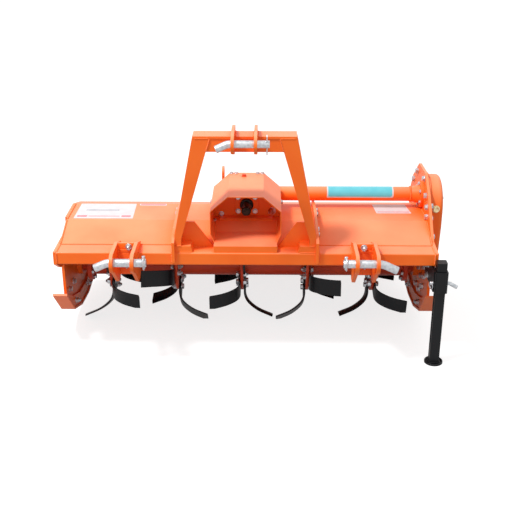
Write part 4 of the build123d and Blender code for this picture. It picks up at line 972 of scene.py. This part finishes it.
# ---------- labels
FILM_T = 0.5
PRINT = HOOD_TOP + FILM_T  # bars printed on a label stand on it
LABELS = (  # name, outline, level, finish and corner radius
    ("left_label", [(-636, 311), (-418, 311), (-423, 466), (-634, 466)], HOOD_TOP, WHITE_VINYL, 3),
    ("left_label_stripe_1", [(-626, 326), (-590, 326), (-590, 341), (-627, 341)], PRINT, RED_VINYL, 2),
    ("left_label_stripe_2", [(-462, 326), (-428, 326), (-429, 341), (-463, 341)], PRINT, RED_VINYL, 2),
    ("left_label_rule", [(-584, 331), (-470, 331), (-470, 336), (-584, 336)], PRINT, RED_VINYL, 1),
    ("left_label_bar", [(-604, 392), (-480, 392), (-480, 402), (-604, 402)], PRINT, GREY_VINYL, 2),
    ("ridge_label", [(-410, 449), (-308, 449), (-308, 466), (-410, 466)], HOOD_TOP, WHITE_VINYL, 1.5),
    ("ridge_label_stripe", [(-406, 455), (-312, 455), (-312, 463), (-406, 463)], PRINT, RED_VINYL, 1),
    ("right_label", [(482, 375), (612, 375), (599, 470), (475, 470)], HOOD_TOP, WHITE_VINYL, 3),
    ("right_label_rule", [(488, 386), (606, 386), (606, 391), (488, 391)], PRINT, RED_VINYL, 1),
)
DRIVE_TUBE_R = 27.0
TUBE_BANDS = (  # name, ends in x, ends in degrees up from the front, height off the tube, and finish
    ("drive_tube_label_border", 299, 548, -15, 135, 0.35, WHITE_VINYL),
    ("drive_tube_label", 304, 543, -5, 125, 0.65, TEAL_VINYL),
)
BAND_CORNER = 9.0


def labels():
    for name, outline, level, material, corner in LABELS:
        plate(outline, level, level + FILM_T, "Z")
        round_corners(corner)
        close(name, material, "root")
    # band wrapped round the drive tube: a teal field inside a white border
    for name, left, right, low, high, lift, material in TUBE_BANDS:
        radius = DRIVE_TUBE_R + lift
        lying_cylinder(radius, right - left, ((left + right) / 2, DRIVE_Y, DRIVE_Z), 72, "NOTHING")
        settle()

        def unwrapped(at, out):
            """True for the strips behind the tube, outside the label's wrap."""
            return not radians(low) <= atan2(at.z - DRIVE_Z, DRIVE_Y - at.y) <= radians(high)

        pick("FACE", unwrapped, among_picked=False)
        bpy.ops.mesh.delete(type="FACE")
        # the right end's lower corner is rounded by three cuts
        foot = DRIVE_Z + radius * sin(radians(low))
        centre = Vector((right - BAND_CORNER, DRIVE_Y, foot + BAND_CORNER))
        for degrees in (22, 45, 68):
            angle = radians(degrees)
            out = Vector((cos(angle), 0, -sin(angle)))
            cut_off(centre + out * BAND_CORNER, out)
        mode("OBJECT")
        modify("SOLIDIFY", thickness=FILM_T * MM, offset=-1)
        close(name, material, "root")


labels()


# ---------- trailing board and adjuster
LUG_PIN = Vector((0.0, 819.0, -260.0))  # the adjuster's pin on the board
ROD_EYE = Vector((0.0, 752.0, -26.0))  # where the rod passes its bracket
ROD_WAY = (ROD_EYE - LUG_PIN).normalized()
SPRING_TOP = 64.0  # past the eye
HINGE_Y, HINGE_Z = 711.0, -188.0
BOARD_HALF = 650.0
KNUCKLE_HALF = 38.0


def up_rod(distance, turn=0.0):
    """A seat on the adjuster's rod, by its distance past the eye."""
    return seat(ROD_EYE + ROD_WAY * distance, ROD_WAY, turn)


def coil(wire_r, coil_r, turns, length, place, steps=18):
    """A coil of round wire, wound by the Screw modifier, with closed ends."""
    start(
        bpy.ops.mesh.primitive_circle_add, vertices=10, radius=wire_r * MM,
        location=mm(coil_r, 0, wire_r), rotation=(pi / 2, 0, 0),
    )
    settle()
    mode("OBJECT")
    count = int(steps * turns)
    rise = (length - 2 * wire_r) * MM
    modify("SCREW", axis="Z", angle=2 * pi * turns, screw_offset=rise, steps=count, render_steps=count)
    mode("EDIT")
    bpy.ops.mesh.select_mode(type="EDGE")
    bpy.ops.mesh.select_all(action="DESELECT")
    bpy.ops.mesh.select_non_manifold(extend=False)
    bpy.ops.mesh.fill()
    face_out()
    mode("OBJECT")
    bpy.context.object.data.transform(place)


def adjuster_fittings():
    coil(2.4, 12.2, 6.5, 59.0, up_rod(5))
    close("adjuster_coil_spring", ZINC, "adjuster", ["adjuster_spring"], smooth=60)
    # thread on the rod, from below the bracket to its end
    coil(0.9, 7.0, 34, 86.0, up_rod(-92), steps=12)
    close("adjuster_rod_thread", ZINC, "adjuster", smooth=60)
    # flat washers, two stop nuts below the bracket and a lock nut at the top
    cylinder(17, 0, 3, opens=True)
    soften_rims(0.6)
    flat = close("flat_washer_pattern", ZINC)
    bolts("adjuster_washers", [up_rod(-30), up_rod(SPRING_TOP - 2.6)], flat, "adjuster")
    cylinder(13, 0, 9, sides=6, opens=True)
    pick("FACE", lambda at, out: abs(out.z) > 0.9)
    sink(1.6, 1.0)
    nut = close("stop_nut_pattern", ZINC)
    places = [up_rod(-40), up_rod(-51, 20), up_rod(SPRING_TOP + 10, 10)]
    bolts("adjuster_stop_nuts", places, nut, "adjuster")
    # washers at both ends of the lug's pin
    for side, word in SIDES:
        lying_cylinder(8.6, 2, (side * 15.6, LUG_PIN.y, LUG_PIN.z), 20)
        close(f"lug_pin_washer_{word}", ZINC, "board", soften=0.5)


def board_fittings():
    # wear strip along the board's lower edge
    strip_end = BOARD_HALF - 14
    plate([(839, -368), (859, -412), (864, -410), (844, -366)], -strip_end, strip_end, "X")
    close("board_wear_strip", FRAME_PAINT, "board", soften=1.0)
    spots = enumerate(range(-600, 601, 200))
    places = [seat((x, 855.5, -389), (0, 0.91, 0.41), 12 * k, 0.7) for k, x in spots]
    bolts("board_strip_bolts", places, BOLT, "board")
    # pressed stays that stiffen the board between its bends
    for n, x in enumerate((-430, -215, 215, 430), 1):
        plate([(757, -233), (802, -303), (812, -297), (768, -228)], x - 4, x + 4, "X")
        close(f"board_stay_{n}", FRAME_PAINT, "board", soften=1.4)
    # each knuckle is welded to the board or to the hood
    for name, middles, y, z, body in (
        ("board_hinge_welds", (-280, 280), 719, -193, "board"),
        ("hood_hinge_welds", (-560, 0, 560), 706, -178, "root"),
    ):
        weld(name, [((x - KNUCKLE_HALF, y, z), (x + KNUCKLE_HALF, y, z)) for x in middles], 3.0, body)
    # spring clips on the ends of the hinge rod
    for side, word in SIDES:
        at = (side * (BOARD_HALF - 7), HINGE_Y, HINGE_Z)
        start(bpy.ops.mesh.primitive_torus_add, **wire_ring(at, 8.4, 1.6, 28, 8))
        close(f"hinge_rod_clip_{word}", ZINC, "root")


adjuster_fittings()
board_fittings()


# ---------- welds of the frame
ON_BEAM = BEAM_TOP + 0.5  # a bead's middle stands this proud of the plate it runs on
ON_HOOD = HOOD_TOP + 1
EAR_MIDDLES = (-35, 35)  # of a lower bracket, from its own middle
# runs on the right-hand side, which are also laid on the left, and their bead
MAST_RUNS = (
    ((120, 84, 409), (168, 84, 409)),
    ((224, 99, 21.5), (243, 99, 21.5)),
    ((243, 98, ON_BEAM), (186, 98, ON_BEAM)),
    ((182, 160, ON_BEAM), (120, 160, ON_BEAM)),
    ((116, 84, 405), (128, 86, 366)),
)
RIB_RUNS = (
    ((255, 90, -34), (255, 90, -6)),
    ((255, 100, -2), (255, 166, -2)),
    ((255, 172, -1), (255, 298, 39.5)),
    ((255, 302, ON_HOOD), (255, HOOD_RIDGE, ON_HOOD)),
)
LUG_RUNS = (
    ((43, 86, 417.5), (43, 148, 417.5)),
    ((31, 86, 417.5), (31, 148, 417.5)),
    ((43, 84, 406), (43, 86, 368)),
)
HOOD_END_RUNS = (
    ((657, 172, -1), (657, 298, HOOD_TOP)),
    ((657, 304, ON_HOOD), (657, HOOD_RIDGE, ON_HOOD)),
)
BEAM_END_RUNS = (
    ((657, BEAM_FRONT, -8), (657, BEAM_FRONT, -44)),
    ((657, 100, BEAM_TOP), (657, 164, BEAM_TOP)),
)
HOOD_FRONT_RUNS = (
    ((-655, 168.5, BEAM_TOP), (-262, 168.5, BEAM_TOP)),
    ((262, 168.5, BEAM_TOP), (655, 168.5, BEAM_TOP)),
)
GUARD_RUNS = (
    ((-100, 130, ON_BEAM), (-100, 166, ON_BEAM)),
    ((100, 130, ON_BEAM), (100, 166, ON_BEAM)),
    ((-110, 172, -1), (-112, 298, HOOD_TOP)),
    ((110, 172, -1), (112, 298, HOOD_TOP)),
)
BASE_RUNS = (
    ((-95, 299, ON_HOOD), (95, 299, ON_HOOD)),
    ((-96, 304, ON_HOOD), (-96, HOOD_RIDGE, ON_HOOD)),
    ((96, 304, ON_HOOD), (96, HOOD_RIDGE, ON_HOOD)),
)


def on_side(side, runs):
    """Runs given for the right-hand side, laid on either side."""
    return [tuple((side * x, y, z) for x, y, z in run) for run in runs]


def frame_welds():
    for side, word in SIDES:
        weld(f"mast_welds_{word}", on_side(side, MAST_RUNS))
        weld(f"rib_welds_{word}", on_side(side, RIB_RUNS), 3.0)
        weld(f"top_lug_welds_{word}", on_side(side, LUG_RUNS), 3.0)
        runs = []
        for ear in EAR_MIDDLES:
            for face in (-7, 7):
                x = side * HITCH_X + ear + face
                if ear * face > 0:  # the strap covers the beam's top between the ears
                    runs.append(((x, 98, ON_BEAM), (x, 164, ON_BEAM)))
                runs.append(((x, BEAM_FRONT - 1, -8), (x, BEAM_FRONT - 1, -44)))
        weld(f"hitch_bracket_welds_{word}", runs, 3.0)
        weld(f"hood_end_welds_{word}", on_side(side, HOOD_END_RUNS), 3.2)
        weld(f"beam_end_welds_{word}", on_side(side, BEAM_END_RUNS), 3.2)
    weld("hood_front_weld", HOOD_FRONT_RUNS, 2.6)
    weld("guard_foot_welds", GUARD_RUNS, 3.0)
    weld("gearbox_base_weld", BASE_RUNS)
    weld_ring("drive_tube_weld", (613, DRIVE_Y, DRIVE_Z), DRIVE_TUBE_R + 0.5, BEAD)
    weld_ring("drive_collar_weld", (88, DRIVE_Y, DRIVE_Z), DRIVE_TUBE_R + 1, 3.6)


frame_welds()


# ---------- studio
FLOOR_GLOW = 0.78  # what lifts the pale floor to white in view
FLOOR_IN_GLOSS = 0.4  # share of that glow that the paint mirrors
ROOM_LIGHT = 0.72  # of the white room, which itself is seen and mirrored at 1
LAMP = Vector((-2.03, -1.17, 4.4))
LAMP_AIM = Vector((0, 0.3, -0.1))
CAMERA = Vector((0.07018, -2.7549, 1.2291))
CAMERA_TURN = (66.51, 0.02, 0.73)
LENS = 63.33


def studio():
    bpy.ops.object.select_all(action="DESELECT")
    bpy.ops.mesh.primitive_plane_add(size=60, location=(0, 0, cad_box[0][2] - 0.0005))
    floor = bpy.context.object
    floor.name = "floor"
    material, tree, _ = new_material("pale_floor")
    path = add(tree, "LightPath").outputs
    mirrored = add(tree, "Math", {0: path["Is Glossy Ray"], 1: FLOOR_IN_GLOSS}, operation="MULTIPLY")
    seen = add(tree, "Math", {0: path["Is Camera Ray"], 1: mirrored}, operation="MAXIMUM")
    paper = add(tree, "BsdfDiffuse", {"Color": linear("#A6A6A6")})
    glow = add(tree, "Emission", {"Color": linear("#FFFFFF"), "Strength": FLOOR_GLOW})
    lit = add(tree, "AddShader", {0: paper, 1: glow})
    surface = add(tree, "MixShader", {0: seen, 1: paper, 2: lit})
    add(tree, "OutputMaterial", {"Surface": surface})
    floor.data.materials.append(material)

    world = bpy.data.worlds.new("white_room")
    bpy.context.scene.world = world
    world.use_nodes = True
    tree = world.node_tree
    tree.nodes.clear()
    path = add(tree, "LightPath").outputs
    seen = add(tree, "Math", {0: path["Is Camera Ray"], 1: path["Is Glossy Ray"]}, operation="MAXIMUM")
    strength = add(tree, "MapRange", {"Value": seen, "To Min": ROOM_LIGHT, "To Max": 1.0})
    sky = add(tree, "Background", {"Color": linear("#FFFFFF"), "Strength": strength})
    add(tree, "OutputWorld", {"Surface": sky})

    # a small lamp far out, high on the left of the front, throws crisp shadows
    bpy.ops.object.light_add(type="AREA", location=LAMP)
    key = bpy.context.object
    key.name = "key_light"
    key.data.size = 0.7
    key.data.energy = 240
    key.rotation_euler = (LAMP_AIM - LAMP).to_track_quat("-Z", "Y").to_euler()


def camera():
    turn = [radians(degrees) for degrees in CAMERA_TURN]
    bpy.ops.object.camera_add(location=CAMERA, rotation=turn)
    eye = bpy.context.object
    eye.name = "camera"
    eye.data.lens = LENS
    eye.data.sensor_width = 36
    eye.data.clip_end = 60
    bpy.context.scene.camera = eye


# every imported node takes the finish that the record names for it
for subpart in frame["record"]["subparts"]:
    for node in subpart.get("nodes", [subpart.get("node")]):
        if node in NODES:
            NODES[node].data.materials.clear()
            NODES[node].data.materials.append(FINISHES[subpart["material_slot"]])
for pattern in PATTERNS:
    bpy.data.objects.remove(pattern)
studio()
camera()
bpy.context.scene.view_settings.view_transform = "Standard"
